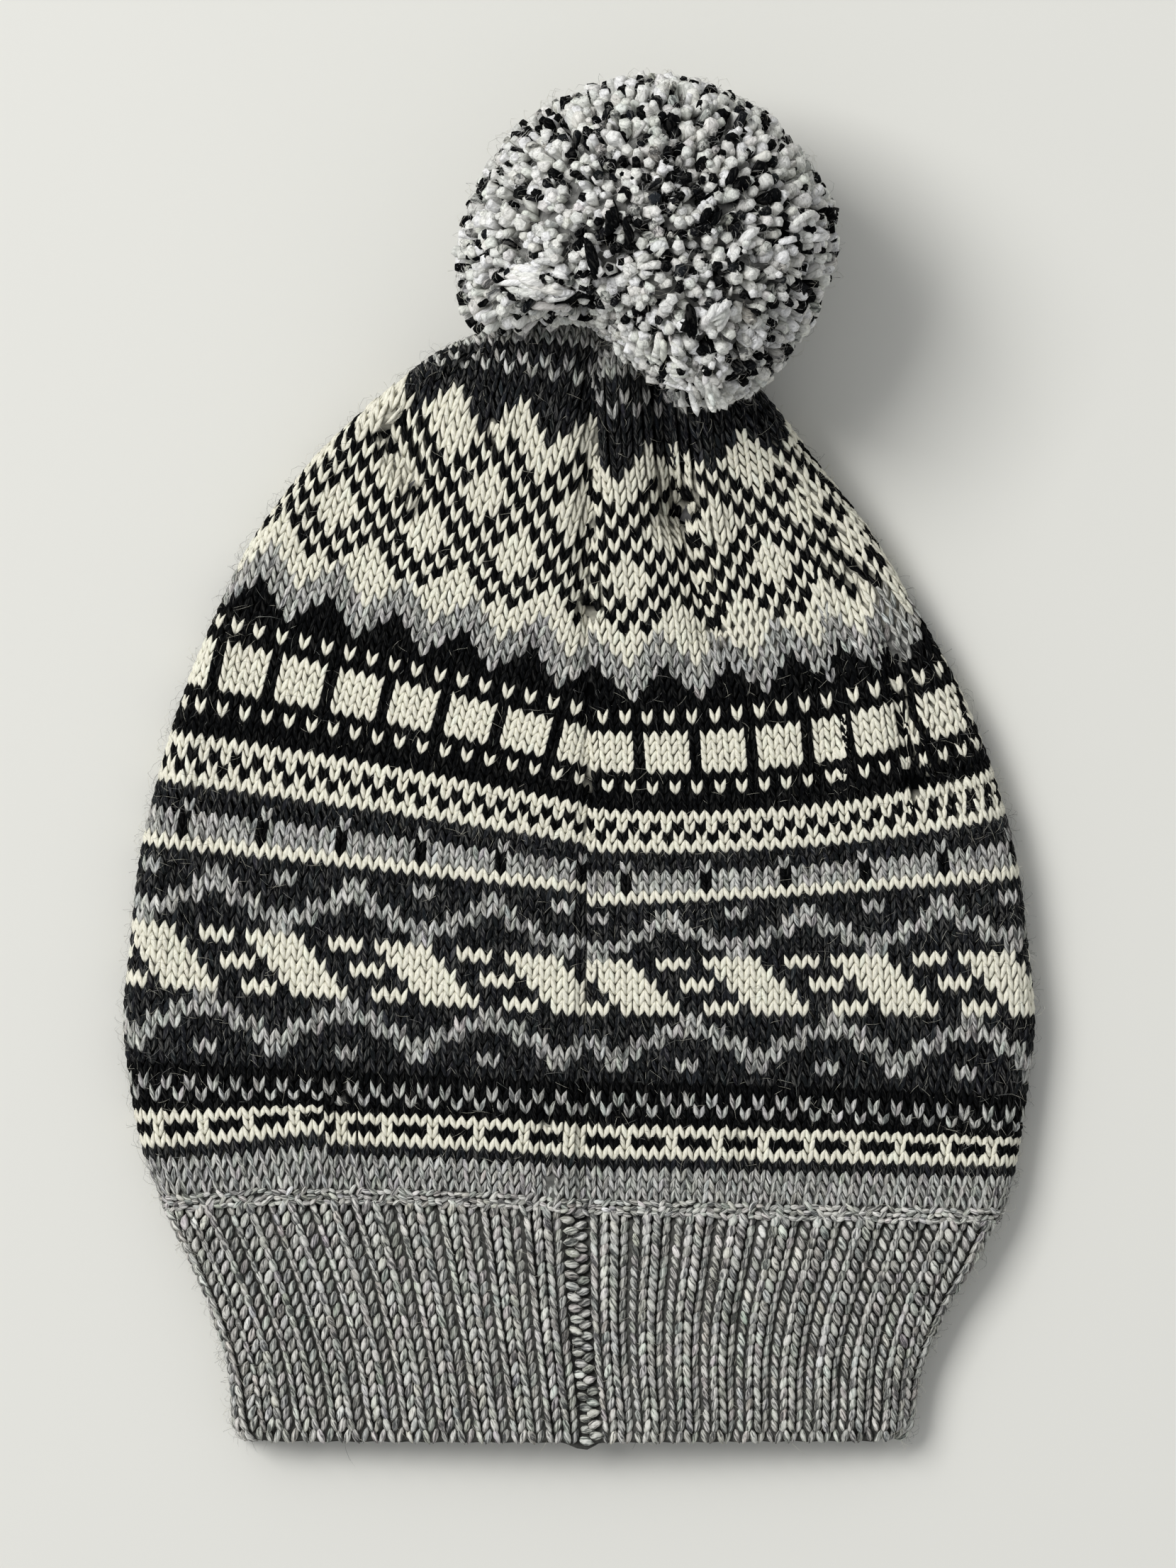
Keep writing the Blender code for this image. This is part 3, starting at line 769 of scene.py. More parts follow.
def yarn_finish(name, ply_turns, ply_pitch, bump=0.55):
    """Spun wool: streaks of fibre along each strand, ply lines round it, and a matt hairy face."""
    finish = Finish(name, 0.92)
    colour = finish.node("Attribute", {"attribute_name": "yarn"}, out="Color")
    marl = finish.node("Attribute", {"attribute_name": "marl"}, out="Vector")
    seed, streaky, pale = finish.parts(marl)
    around, along, _ = finish.parts(finish.node("UVMap", {"uv_map": "strand"}))

    def fibre(across_scale, along_scale, stray, detail=2.0):
        """Fine fibres that run along the strand with a slight twist."""
        vector = finish.node("CombineXYZ", {}, {
            "X": around * across_scale + along * (0.05 * across_scale),
            "Y": along * along_scale, "Z": seed * stray})
        return finish.node("TexNoise", {}, {"Vector": vector, "Scale": 1.0, "Detail": detail})

    streak = fibre(7.0, 0.26, 61.0)
    fine = fibre(18.0, 0.9, 23.0, 3.0)
    dark = (1.0 - finish.smooth(streak, 0.40, 0.49)) * streaky
    light = finish.smooth(streak, 0.53, 0.62) * pale
    hairs = finish.smooth(fine, 0.60, 0.68) * pale
    body = finish.mix(dark * 0.82, colour, (0.026, 0.028, 0.031, 1.0))
    body = finish.mix(light * 0.66, body, (0.84, 0.83, 0.78, 1.0))
    body = finish.mix(hairs * 0.40, body, (0.80, 0.79, 0.75, 1.0))
    body = finish.shade(finish.smooth(fine, 0.30, 0.62) * 0.28 + 0.78, body)
    ply = ((around * ply_turns + along / ply_pitch) * (2 * math.pi)).wave()
    height = ply * 0.35 + fine * 0.9 + streak * 0.5
    normal = finish.node("Bump", {}, {"Strength": bump, "Distance": 0.00025, "Height": height})
    return finish.give(Base_Color=body, Roughness=fine * 0.2 + 0.8, Normal=normal)


def ground_finish(name):
    """The back of the knit, seen between the stitches and inside: wool in small loops, in colours
    darkened as painted shade between the stitches.
    """
    finish = Finish(name, 0.95)
    colour = finish.node("Attribute", {"attribute_name": "yarn"}, out="Color")
    place = finish.node("TexCoord", {}, out="Object")
    loops = finish.node("TexWave", {"wave_type": "BANDS", "bands_direction": "Y"},
                        {"Vector": place, "Scale": 105.0, "Distortion": 3.0, "Detail": 2.0,
                         "Detail Scale": 3.0}, out="Fac")
    fuzz = finish.node("TexNoise", {}, {"Vector": place, "Scale": 900.0, "Detail": 3.0})
    body = finish.shade(loops * 0.35 + fuzz * 0.9 + 0.25, colour)
    height = loops * 0.7 + fuzz * 0.5
    normal = finish.node("Bump", {}, {"Strength": 0.7, "Distance": 0.0005, "Height": height})
    return finish.give(Base_Color=body, Roughness=fuzz * 0.1 + 0.88, Normal=normal)


def floor_finish():
    """A plain pale board with a faint unevenness."""
    finish = Finish("pale_board", 0.6)
    place = finish.node("TexCoord", {}, out="Object")
    cloud = finish.node("TexNoise", {}, {"Vector": place, "Scale": 3.0, "Detail": 3.0})
    body = finish.mix(cloud * 0.25, (*PALE_FLOOR, 1.0), (*FLOOR_CLOUD, 1.0))
    return finish.give(Base_Color=body)


def yarn_rows(signs, dice):
    """Colours and marl of strands from their yarn signs."""
    colours = np.array([YARNS[sign][0] for sign in signs])
    stir = np.array([YARNS[sign][3] for sign in signs])[:, None]
    colours = colours * np.exp(stir * dice.normal(0.0, 1.0, (len(signs), 1)))
    colours = colours * (1 + 0.10 * stir * dice.normal(0.0, 1.0, (len(signs), 3)))
    marl = np.array([(0.0, YARNS[sign][1], YARNS[sign][2]) for sign in signs])
    marl[:, 0] = dice.uniform(0.0, 1.0, len(signs))
    return np.clip(colours, 0.001, 0.9), marl


def declare(piece, slot, material, *nodes):
    """Give a piece its material, hang it under the root body, and hide the construction's parts that
    it stands for.
    """
    piece.data.materials.append(material)
    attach(piece, "root")
    for node in nodes:
        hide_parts(node)
    return piece


Stitch = namedtuple("Stitch", "row col side along turn width")


def stitch_list():
    """Every stitch of the body."""
    found = []
    for side in (-1, 1):
        for row in range(FIRST_ROW, LAST_ROW + 1):
            cols = np.arange(0, COLUMNS_PER_SIDE + 14)
            along, turn, width, kept = stitch_places(float(row), cols, side)
            for c in np.nonzero(kept)[0]:
                found.append(Stitch(row, int(cols[c]), side, along[c], turn[c], width[c]))
    return found


def leg_lines(places, width, pitch, around, up, out, profile):
    """Middle lines of both legs of stitches whose feet stand at places."""
    steps = np.linspace(0.0, 1.0, len(profile))
    lines = []
    for hand in (-1, 1):
        reach = LEG_FOOT + (LEG_HEAD - LEG_FOOT) * steps ** 0.9
        aside = hand * reach[None, :] * width[:, None]
        rise = (LEG_RISE * steps[None, :] - LEG_DROP) * pitch[:, None]
        lift = np.broadcast_to(profile[None, :], rise.shape)
        lines.append(places[:, None, :] + around[:, None, :] * aside[..., None]
                     + up[:, None, :] * rise[..., None] + out[:, None, :] * lift[..., None])
    return np.stack(lines, axis=1).reshape(-1, len(profile), 3)


def make_stitches(found, name, swell, angles, dice, material):
    """One piece of body stitches: two legs each."""
    row, _, side, along, turn, width = np.array(found, float).T
    rings = len(swell)
    places = surface(along, turn)
    small = 0.004
    turn_safe = np.where(np.abs(turn) < 2 * small, side * 2 * small, turn)
    around = unit(surface(row_along(row, turn_safe + small), turn_safe + small)
                  - surface(row_along(row, turn_safe - small), turn_safe - small))
    out = outward(along, turn_safe)
    up = unit(np.cross(out, around))
    above = surface(row_along(row - 1, turn), turn) - places
    pitch = np.maximum(np.einsum("ij,ij->i", above, up), 0.0018)
    steps = np.linspace(0.0, 1.0, rings + 2)
    sink = np.where(steps < 0.5, LEG_SINK, LEG_HEAD_SINK)
    lift = LEG_CREST - sink * (2 * steps - 1) ** 2
    places = places + around * dice.normal(0.0, STRAY_AROUND, (len(found), 1))
    places = places + up * dice.normal(0.0, STRAY_UP, (len(found), 1))
    lines = leg_lines(places, width, pitch, around, up, out, lift)
    signs = [chart_sign(stitch.row, stitch.col, stitch.side) for stitch in found for _ in range(2)]
    colours, marl = yarn_rows(signs, dice)
    ups = np.repeat(out, 2, axis=0)
    wide = np.repeat(width * LEG_HALF_WIDTH, 2) * dice.uniform(0.90, 1.10, len(found) * 2)
    piece = lay_strands(name, lines, ups, wide, LEG_HALF_HEIGHT, swell, angles, colours, marl)
    return declare(piece, "patterned_knit", material)


def ground_shell(name, outer, inner, colours_outer, colours_inner, material, slot, node,
                 capped):
    """A closed hollow shell between two stacks of rings, joined at the hem side."""
    count = outer.shape[1]
    stack = np.concatenate([outer[::-1], inner], axis=0)
    colours = np.concatenate([colours_outer[::-1], colours_inner], axis=0)
    rings = len(stack)
    closed = 0 if capped else 1
    j, k = np.meshgrid(np.arange(rings - 1 + closed), np.arange(count), indexing="ij")
    near, far = (j * count), ((j + 1) % rings) * count
    quads = np.stack([near + k, near + (k + 1) % count, far + (k + 1) % count, far + k], axis=-1)
    loops = quads.reshape(-1)
    sizes = np.full(quads.shape[0] * quads.shape[1], 4)
    verts = stack.reshape(-1, 3)
    tints = colours.reshape(-1, 3)
    if capped:
        fans = []
        for ring, turned in ((0, True), (rings - 1, False)):
            middle = len(verts)
            verts = np.concatenate([verts, stack[ring].mean(axis=0, keepdims=True)])
            tints = np.concatenate([tints, colours[ring][:1]])
            for c in range(count):
                a, b = ring * count + c, ring * count + (c + 1) % count
                fans.append((middle, b, a) if turned else (middle, a, b))
        fans = np.array(fans)
        loops = np.concatenate([loops, fans.reshape(-1)])
        sizes = np.concatenate([sizes, np.full(len(fans), 3)])
    verts = verts.copy()
    verts[:, 2] = np.maximum(verts[:, 2], SHELL_CLEARANCE)
    marl = np.zeros((len(verts), 3))
    piece = make_mesh(name, verts, loops, sizes, tints, marl)
    face_out(piece.data)
    return declare(piece, slot, material, node)


def face_out(mesh):
    """Turn a closed mesh's faces outwards."""
    mesh.calc_loop_triangles()
    corners = np.empty(len(mesh.loop_triangles) * 3, np.int32)
    mesh.loop_triangles.foreach_get("vertices", corners)
    points = np.empty(len(mesh.vertices) * 3, np.float32)
    mesh.vertices.foreach_get("co", points)
    tri = points.reshape(-1, 3)[corners.reshape(-1, 3)]
    volume = np.einsum("ij,ij->i", tri[:, 0], np.cross(tri[:, 1], tri[:, 2])).sum()
    if volume < 0.0:
        mesh.flip_normals()


def make_body_ground(material):
    """The fabric behind the body's stitches, and its inner face."""
    turns = np.linspace(-1.0, 1.0, GROUND_COLUMNS + 1)[:-1] + 1.0 / GROUND_COLUMNS
    start = row_along(float(RIDGE_ROW), turns) - 0.0002

    def rings(count, last):
        """Distances from the hem of rings between the ridge and the last one."""
        share = 1 - (1 - np.linspace(0.0, 1.0, count)) ** GROUND_CLOSER
        return start + (last - start) * share[:, None]

    along = rings(GROUND_RINGS, SHELL_LENGTH - 0.0012)
    outer = surface(along, turns) - outward(np.minimum(along, INNER_END), turns) * GROUND_DEPTH
    along_in = rings(INSIDE_RINGS, INNER_END - BODY_WALL)
    inner = surface(along_in, turns) - outward(along_in, turns) * BODY_WALL
    painted_shade_tint = np.zeros((*outer.shape[:2], 3))
    rows = np.arange(FIRST_ROW, RIDGE_ROW + 1)
    for k, turn in enumerate(turns):
        side = 1 if turn >= 0 else -1
        lines = row_along(rows.astype(float), turn)
        row = np.interp(along[:, k], lines[::-1], rows[::-1].astype(float))
        loop = sum(half_loop(along[:, k], side))
        width = stitch_width(row, loop)
        col = np.floor(abs(turn) * loop / width + swallowed(row, side)).astype(int)
        for i in range(GROUND_RINGS):
            charted = min(max(int(math.ceil(row[i] - 0.3)), FIRST_ROW), LAST_ROW)
            sign = chart_sign(charted, int(col[i]), side)
            # The ground takes the yarn colour of the stitch over it, darkened: painted shade in the
            # gaps between the stitches
            painted_shade_tint[i, k] = np.array(YARNS[sign][0]) * GAP_PAINTED_SHADE[sign]
    return ground_shell("body_ground_and_inside", outer, inner, painted_shade_tint,
                        np.broadcast_to(INSIDE_GREY, inner.shape), material, "patterned_knit",
                        "knit_body", True)


def rib_spots(turn):
    """Where round a rib a place lies, in ribs from its middle, for any turn."""
    return (np.abs(turn) * RIB_COUNT / 2) % 1.0 - 0.5


def make_rib_ground(material):
    """The band behind its stitches: grooved between the ribs, plain inside, rounded at the hem."""
    turns = np.linspace(-1.0, 1.0, RIB_COUNT * GROOVE_COLUMNS_PER_RIB + 1)[:-1]
    groove = GROOVE_DEPTH * (0.5 + 0.5 * np.cos(2 * math.pi * (rib_spots(turns) + 0.5)))
    top = row_along(float(RIDGE_ROW), turns) - 0.0005
    depths = [(BAND_WALL * 0.55, 0.0006), (BAND_WALL * 0.36, 0.0007), (GROUND_DEPTH, ROUNDED_HEM)]
    length = top - ROUNDED_HEM
    rings, inner = [], []
    for depth, along in depths:
        rings.append((np.full_like(turns, along), depth + groove))
    for share in (0.2, 0.4, 0.6, 0.8, 1.0):
        rings.append((ROUNDED_HEM + length * share, GROUND_DEPTH + groove))
    for share in (0.0, 0.33, 0.66, 1.0):
        inner.append((ROUNDED_HEM + length * share, np.full_like(turns, BAND_WALL)))

    def place(pair):
        """Points of a ring so deep behind the face."""
        along, depth = pair
        return surface(along, turns) - outward(along, turns) * depth[..., None]

    outer = np.stack([place(pair) for pair in rings])
    inside = np.stack([place(pair) for pair in inner])
    # The band's ground is the rib yarn darkened: painted shade in the grooves and gaps behind the
    # stitches; the inner face is less darkened
    painted_shade_band = np.array(YARNS["R"][0]) * BAND_GAP_PAINTED_SHADE
    return ground_shell("band_ground_and_inside", outer, inside, np.broadcast_to(painted_shade_band, outer.shape),
                        np.broadcast_to(painted_shade_band * BAND_INSIDE_BRIGHTER, inside.shape), material,
                        "rib_knit", "rib_band", False)


def band_frame(along, turn):
    """Places on the band, with the ways round it, up it and out of it."""
    small = 0.002
    around = unit(surface(along, turn + small) - surface(along, turn - small))
    out = outward(along, turn)
    return surface(along, turn), around, unit(np.cross(out, around)), out


def make_band_stitches(dice, material):
    """The band's ribs: two columns of stitches each, four legs wide, sinking into grooves."""
    both = (-1, 1)
    legs = product(both, range(RIB_COUNT // 2), range(BAND_ROWS), both, both)
    side, rib, r, stitch, hand = np.array(list(legs), float).T
    guess = np.full(len(side), BAND_DEPTH / 2)
    loop = np.where(side > 0, sum(half_loop(guess, 1.0)), sum(half_loop(guess, -1.0)))
    clear = SEAM_HALF_WIDTH / loop
    period = (1.0 - clear) * loop / (RIB_COUNT / 2)
    turn_mid = side * (clear + (1.0 - clear) * (rib + 0.5) / (RIB_COUNT / 2))
    top = row_along(RIDGE_ROW + 0.55, turn_mid)
    pitch = (top - HEM_EDGE) / BAND_ROWS
    foot = HEM_EDGE + (BAND_ROWS - 1 - r) * pitch
    here = np.clip(foot + pitch * 0.5, 0.0, None)
    loop_here = np.where(side > 0, sum(half_loop(here, 1.0)), sum(half_loop(here, -1.0)))
    scale = loop_here / loop
    centre, around, up, out = band_frame(np.clip(foot, 0.0002, None), turn_mid)
    line = np.empty((len(side), len(RIB_LEG_SWELL) + 2, 3))
    for i, t in enumerate(np.linspace(0.0, 1.0, line.shape[1])):
        reach = RIB_LEG_FOOT + RIB_LEG_REACH * t ** 0.9
        aside = (stitch * RIB_COLUMN + hand * reach) * period * scale
        rise = (RIB_LEG_RISE * t - RIB_LEG_DROP) * pitch
        height = RIB_LEG_CREST - RIB_LEG_SINK * (2 * t - 1) ** 2
        height = height - RIB_ROUNDING * (np.abs(aside) / (period * scale / 2)) ** RIB_ROUND_POWER
        height = height - HEM_ROUNDING * np.exp(-(foot + rise) / HEM_ROUND_REACH)
        line[:, i] = (centre + around * aside[:, None] + up * rise[:, None]
                      + out * height[:, None])
    tilt = (stitch * RIB_COLUMN + hand * RIB_LEG_ASIDE) * RIB_LEG_TILT
    up_way = unit(out + around * tilt[:, None])
    colours, marl = yarn_rows(["R"] * len(side), dice)
    wide = period * scale * RIB_LEG_HALF_WIDTH * dice.uniform(0.88, 1.10, len(side))
    piece = lay_strands("band_stitches", line, up_way, wide, RIB_LEG_HALF_HEIGHT, RIB_LEG_SWELL,
                        ROUND_TOP, colours, marl)
    return declare(piece, "rib_knit", material)


def make_seam_and_ridge(dice, material):
    """Sideways loops: the seam's column down the band, and the ridge where the body is linked on."""
    lines, ups, wides = [], [], []
    steps = np.linspace(-1.0, 1.0, len(LOOP_SWELL) + 2)
    for r, hand in product(range(BAND_ROWS), (-1, 1)):
        foot = np.array([HEM_EDGE + (r + 0.5 + 0.25 * hand) * (BAND_DEPTH - HEM_EDGE) / BAND_ROWS])
        centre = surface(foot, hand * SEAM_LOOP_TURN)[0]
        _, around, up, out = band_frame(foot, np.array([SEAM_LOOP_TURN + 0.002]))
        around, up, out = around[0], up[0], out[0]
        lean = dice.normal(0.15 * hand, 0.22) * SEAM_LOOP_LEAN
        shift = dice.normal(0.0, 0.00025)
        lines.append([centre + around * (s * SEAM_LOOP_REACH + shift) + up * (s * lean)
                      + out * (-0.0001 - 0.0010 * s * s) for s in steps])
        ups.append(out)
        wides.append(SEAM_LOOP_HALF_WIDTH)
    for side in (-1, 1):
        loop = float(sum(half_loop(np.array([BAND_DEPTH]), side))[0])
        count = int(loop / RIDGE_LOOP_SPACING)
        turn = side * (np.arange(count) + 0.5) / count
        for line_row in RIDGE_LINES:
            along = row_along(line_row, turn) + dice.normal(0.0, 0.00022, count)
            centre, around, up, out = band_frame(along, turn)
            lean = dice.normal(0.0, 0.00090, count)
            reach = dice.uniform(0.0011, 0.0019, count)
            for i in range(count):
                lines.append([centre[i] + around[i] * (s * reach[i]) + up[i] * (s * lean[i])
                              + out[i] * (0.0002 - 0.0007 * s * s) for s in steps])
                ups.append(out[i])
                wides.append(RIDGE_LOOP_HALF_WIDTH)
    colours, marl = yarn_rows(["R"] * len(lines), dice)
    piece = lay_strands("seam_and_ridge_loops", np.array(lines), np.array(ups), np.array(wides),
                        LOOP_HALF_HEIGHT, LOOP_SWELL, FULL_TOP, colours, marl)
    return declare(piece, "rib_knit", material)


def pompom_solid():
    """The construction's own pompom, for rays to hit."""
    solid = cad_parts["pompom"].data
    return BVHTree.FromPolygons([v.co[:] for v in solid.vertices],
                                [p.vertices[:] for p in solid.polygons])


def pompom_reach(solid, directions, middle):
    """How far the pompom reaches in each direction."""
    reaches = []
    for way in directions:
        hit = solid.ray_cast(middle + Vector(way) * 0.2, -Vector(way))
        reaches.append((hit[0] - middle).length if hit[0] is not None else 0.04)
    return np.array(reaches)


def make_pompom(solid, dice, material):
    """The pompom: chopped ends of yarn that stand out from a felt heart."""
    middle = Vector((POMPOM_ASIDE, POMPOM_ALONG - MID_ALONG, POMPOM_HEIGHT / 2))
    i = np.arange(TUFT_COUNT)
    height = 1 - 2 * (i + 0.5) / TUFT_COUNT
    ring = np.sqrt(1 - height ** 2)
    angle = math.pi * (3 - math.sqrt(5)) * i
    ways = np.stack([ring * np.cos(angle), ring * np.sin(angle), height], axis=1)
    ways = unit(ways + dice.normal(0.0, 0.018, ways.shape))
    reach = pompom_reach(solid, ways, middle)
    toward = np.arctan2(ways[:, 1], ways[:, 0])
    reach = reach - POMPOM_TRIM * ring * np.exp(-((toward - TRIM_TOWARD) / TRIM_SPREAD) ** 2)
    patch = np.sin(ways @ (9.0, 5.0, -4.0) + 1.3) * np.sin(ways @ (-5.0, 8.0, 6.0) + 0.4)
    pick = dice.uniform(0.0, 1.0, TUFT_COUNT)
    black = BLACK_SHARE + BLACK_PATCHES * patch
    kinds = np.select([pick < black, pick < black + 0.07, pick < black + 0.17],
                      ["K", "D", "L"], "P")
    core = np.array(middle)
    lean = unit(dice.normal(0.0, 1.0, ways.shape))
    tip_way = unit(ways + lean * dice.uniform(0.0, 0.12, (TUFT_COUNT, 1)))
    tip = core + tip_way * (reach + dice.uniform(-0.0026, 0.0008, TUFT_COUNT))[:, None]
    root = core + ways * (reach - TUFT_LENGTH)[:, None]
    bend = lean * dice.uniform(-0.0006, 0.0006, (TUFT_COUNT, 1))
    lines = np.stack([root * (1 - t) + tip * t + bend * math.sin(math.pi * t)
                      for t in TUFT_POINTS], axis=1)
    dark = np.isin(kinds, ["K", "D"])
    radius = np.where(dark, DARK_TUFT_RADIUS, PALE_TUFT_RADIUS)
    radius = radius * dice.uniform(0.66, 1.28, TUFT_COUNT)
    girth = np.array(TUFT_GIRTH) * dice.uniform(0.72, 1.20, (TUFT_COUNT, 3))
    for name, these in (("pompom_pale_yarn_ends", ~dark), ("pompom_dark_yarn_ends", dark)):
        colours, marl = yarn_rows(kinds[these], dice)
        piece = lay_strands(name, lines[these], lean[these], radius[these], radius[these],
                            girth[these], ALL_ROUND, colours, marl)
        declare(piece, "pompom_yarn", material, "pompom")
    return ways, reach, core


def make_pompom_locks(solid, dice, material):
    """Longer ends that lie over the pompom's other ends: locks, and a few black loops."""
    steps = np.linspace(0.0, 1.0, len(LOCK_SWELL) + 2)
    lines, kinds, wide = [], [], []

    def top(x, along):
        """Height of the pompom's upper side."""
        hit = solid.ray_cast(Vector((x, along - MID_ALONG, 0.2)), Vector((0.0, 0.0, -1.0)))
        return hit[0].z if hit[0] is not None else LOCK_REST

    def drape(x, along, lift, lowest=0.0):
        """A point on the pompom's upper side, or not much below where its lock begins."""
        return (x, along - MID_ALONG, max(top(x, along), lowest) + lift)

    for yarn, x_from, along_from, x_to, along_to, spread, count in LOCKS:
        for _ in range(count):
            off_from, off_to = dice.normal(0.0, spread, (2, 2))
            bow = dice.normal(0.0, 0.0008)
            lift = dice.uniform(0.0, 0.0016)
            x, along = x_from + off_from[0], along_from + off_from[1]
            x_run, along_run = x_to + off_to[0] - x_from, along_to + off_to[1] - along_from
            lowest = top(x, along) - LOCK_DROOP
            lines.append([drape(x + x_run * t, along + along_run * t + bow * math.sin(math.pi * t),
                                lift, lowest) for t in steps])
            kinds.append(yarn)
            wide.append(LOCK_RADIUS * dice.uniform(0.75, 1.15))
    for x_mid, along_mid, x_reach, along_reach, start, sweep in BLACK_LOOPS:
        angles = np.radians(start + sweep * steps)
        lines.append([drape(x_mid + x_reach * math.cos(a), along_mid + along_reach * math.sin(a),
                            BLACK_LOOP_LIFT) for a in angles])
        kinds.append("K")
        wide.append(BLACK_LOOP_RADIUS)
    lines = np.array(lines)
    colours, marl = yarn_rows(kinds, dice)
    ups = np.tile((0.0, 0.0, 1.0), (len(lines), 1))
    piece = lay_strands("pompom_lying_ends", lines, ups, np.array(wide), np.array(wide),
                        LOCK_SWELL, ALL_ROUND, colours, marl)
    declare(piece, "pompom_yarn", material)


def make_pompom_core(ways, reach, core, material):
    """The felt heart of the pompom, behind its yarn ends, in a grey that is painted shade between
    the ends.
    """
    ball = bmesh.new()
    bmesh.ops.create_icosphere(ball, subdivisions=4, radius=1.0)
    for vert in ball.verts:
        way = np.array(vert.co.normalized())
        near = np.argsort(-(ways @ way))[:6]
        size = float(np.mean(reach[near])) - HEART_DEPTH
        vert.co = Vector(core + way * size)
        vert.co.z = max(vert.co.z, 0.0005)
    mesh = bpy.data.meshes.new("pompom_heart")
    ball.to_mesh(mesh)
    ball.free()
    mesh.attributes.new("yarn", "FLOAT_COLOR", "POINT")
    painted_shade_tint = np.tile(np.array([*HEART_PAINTED_SHADE, 1.0], np.float32), len(mesh.vertices))
    mesh.attributes["yarn"].data.foreach_set("color", painted_shade_tint)
    mesh.shade_smooth()
    piece = bpy.data.objects.new("pompom_heart", mesh)
    bpy.context.scene.collection.objects.link(piece)
    return declare(piece, "pompom_yarn", material)


def make_hairs(name, roots, outs, dice, hair, signs, material, slot):
    """Stray fibres: fine bent hairs that stand off the wool."""
    length, rise, radius = hair
    count = len(roots)
    side = unit(np.cross(outs, unit(dice.normal(0.0, 1.0, (count, 3)))))
    bend = unit(np.cross(outs, side))
    long = length * dice.uniform(0.4, 1.4, (count, 1))
    curl = dice.normal(0.0, 0.45, (count, 1))
    high = rise * dice.uniform(0.3, 1.3, (count, 1))
    line = np.empty((count, 4, 3))
    for k, t in enumerate(np.linspace(0.0, 1.0, 4)):
        line[:, k] = (roots + side * long * t + bend * long * curl * t * t
                      + outs * (high * math.sin(math.pi * min(t * 0.8, 1.0)) - 0.0002))
    colours, marl = yarn_rows(signs, dice)
    marl[:, 1:] = 0.0
    piece = lay_strands(name, line, outs, radius, radius, (1.0, 0.9), HAIR_ROUND, colours, marl)
    return declare(piece, slot, material)


def add_area_light(name, place, aim, size, power, colour):
    """A soft square lamp that looks at a point."""
    data = bpy.data.lights.new(name, "AREA")
    data.size = size
    data.energy = power
    data.color = colour
    lamp = bpy.data.objects.new(name, data)
    lamp.location = place
    lamp.rotation_euler = (Vector(aim) - Vector(place)).to_track_quat("-Z", "Y").to_euler()
    bpy.context.scene.collection.objects.link(lamp)


def add_stage():
    """Floor, lights, sky and camera."""
    bpy.ops.mesh.primitive_plane_add(size=FLOOR_SIZE, location=(0.0, 0.0, 0.0))
    floor = bpy.context.object
    floor.name = "pale_floor"
    floor.data.materials.append(floor_finish())
    add_area_light("window_light", (-3.4, 1.8, 5.0), (0.0, 0.0, 0.0), 2.8, 256.0, LAMP_COLOUR)
    add_area_light("fill_light", (-0.65, 0.55, 1.1), (0.0, 0.0, 0.0), 0.9, 2.5, LAMP_COLOUR)
    world = bpy.data.worlds.new("soft_room")
    bpy.context.scene.world = world
    world.use_nodes = True
    world.node_tree.nodes["Background"].inputs["Color"].default_value = (0.97, 0.985, 1.0, 1.0)
    world.node_tree.nodes["Background"].inputs["Strength"].default_value = 0.43
    data = bpy.data.cameras.new("view_from_above")
    camera = bpy.data.objects.new("view_from_above", data)
    bpy.context.scene.collection.objects.link(camera)
    camera.location = CAMERA_PLACE
    data.sensor_fit = "VERTICAL"
    data.sensor_height = SENSOR_HEIGHT
    data.lens = (CAMERA_PLACE[2] - HAT_TOP) * SENSOR_HEIGHT / VIEW_HEIGHT
    bpy.context.scene.camera = camera
    bpy.context.scene.view_settings.view_transform = "Standard"


def add_knit_hairs(back, dice, knit, rib):
    """Stray fibres over the seam side of the body, round the hat's outline and over the band."""
    picks = dice.integers(0, len(back), BODY_HAIR_COUNT)
    along = np.array([back[i].along for i in picks]) + dice.uniform(-0.001, 0.003, len(picks))
    turn = np.array([back[i].turn for i in picks])
    signs = dice.choice(["W", "L", "K"], len(picks), p=[0.5, 0.35, 0.15])
    make_hairs("body_stray_fibres", surface(along, turn), outward(along, turn), dice, BODY_HAIR,
               signs, knit, "patterned_knit")
    edge = [stitch for stitch in back if abs(stitch.turn) > 0.41]
    picks = dice.integers(0, len(edge), OUTLINE_HAIR_COUNT)
    along = np.append([edge[i].along for i in picks], dice.uniform(*HAIRY_BAND, BAND_HAIR_COUNT))
    band_side = dice.choice([-1.0, 1.0], BAND_HAIR_COUNT)
    band_turn = band_side * dice.uniform(0.42, 0.54, BAND_HAIR_COUNT)
    turn = np.append([edge[i].turn for i in picks], band_turn)
    make_hairs("outline_stray_fibres", surface(along, turn), outward(along, turn), dice,
               OUTLINE_HAIR, dice.choice(["W", "L", "D"], len(turn)), knit, "patterned_knit")
    turn = dice.uniform(-0.5, 0.5, BAND_HAIR_COUNT)
    along = dice.uniform(*HAIRY_BAND, BAND_HAIR_COUNT)
    make_hairs("band_stray_fibres", surface(along, turn), outward(along, turn), dice, BAND_HAIR,
               dice.choice(["W", "L", "K"], BAND_HAIR_COUNT), rib, "rib_knit")


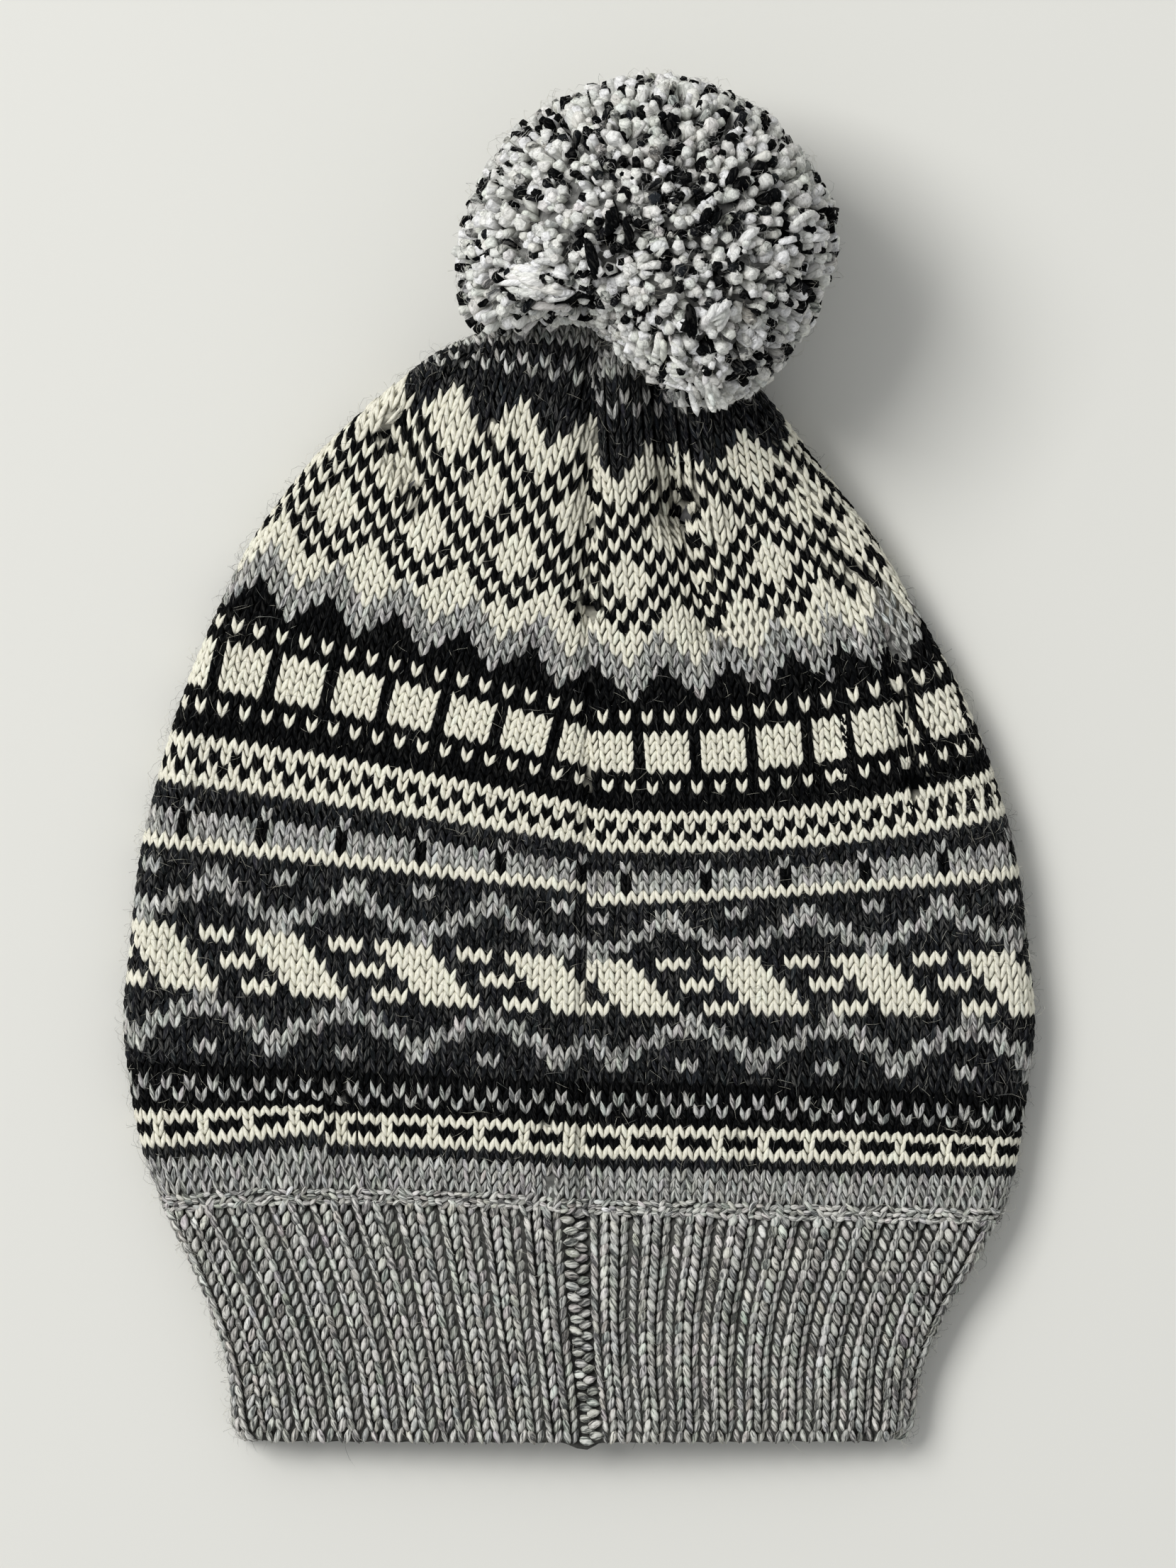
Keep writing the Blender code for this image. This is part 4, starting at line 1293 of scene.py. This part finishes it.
def add_pompom_hairs(ways, reach, core, dice, tuft):
    """Long stray fibres and short fuzz all over the pompom."""
    picks = dice.integers(0, len(ways), POMPOM_HAIR_COUNT)
    roots = core + ways[picks] * (reach[picks] - 0.001)[:, None]
    signs = dice.choice(["W", "L", "K"], len(picks), p=[0.7, 0.2, 0.1])
    make_hairs("pompom_stray_fibres", roots, ways[picks], dice, POMPOM_HAIR, signs, tuft,
               "pompom_yarn")
    picks = dice.integers(0, len(ways), POMPOM_FUZZ_COUNT)
    spread = unit(ways[picks] + dice.normal(0.0, 0.012, (len(picks), 3)))
    roots = core + spread * reach[picks][:, None] - ways[picks] * 0.0008
    signs = dice.choice(["P", "L", "K"], len(picks), p=[0.78, 0.13, 0.09])
    make_hairs("pompom_fuzz", roots, ways[picks], dice, POMPOM_FUZZ, signs, tuft, "pompom_yarn")


def build():
    """Lay the hat's fabric, its pompom and its stray fibres, then set the stage."""
    dice = np.random.default_rng(11)
    knit = yarn_finish("knitted_wool", 1.0, 2.6)
    rib = yarn_finish("rib_wool", 1.0, 2.8)
    tuft = yarn_finish("chopped_wool", 1.0, 3.2, 0.95)
    ground = ground_finish("knit_ground")
    found = stitch_list()
    back = [stitch for stitch in found if abs(stitch.turn) < FRONT_TURN]
    front = [stitch for stitch in found if abs(stitch.turn) >= FRONT_TURN]
    for label, first, after in SEAM_SIDE_PIECES:
        rows = [stitch for stitch in back if first <= stitch.row < after]
        make_stitches(rows, "seam_side_stitches_" + label, LEG_SWELL, ROUND_TOP, dice, knit)
    make_stitches(front, "front_stitches", FRONT_LEG_SWELL, PLAIN_TOP, dice, knit)
    make_body_ground(ground)
    make_rib_ground(ground)
    make_band_stitches(dice, rib)
    make_seam_and_ridge(dice, rib)
    solid = pompom_solid()
    ways, reach, core = make_pompom(solid, dice, tuft)
    make_pompom_core(ways, reach, core, ground)
    make_pompom_locks(solid, dice, tuft)
    add_knit_hairs(back, dice, knit, rib)
    add_pompom_hairs(ways, reach, core, dice, tuft)
    add_stage()


build()
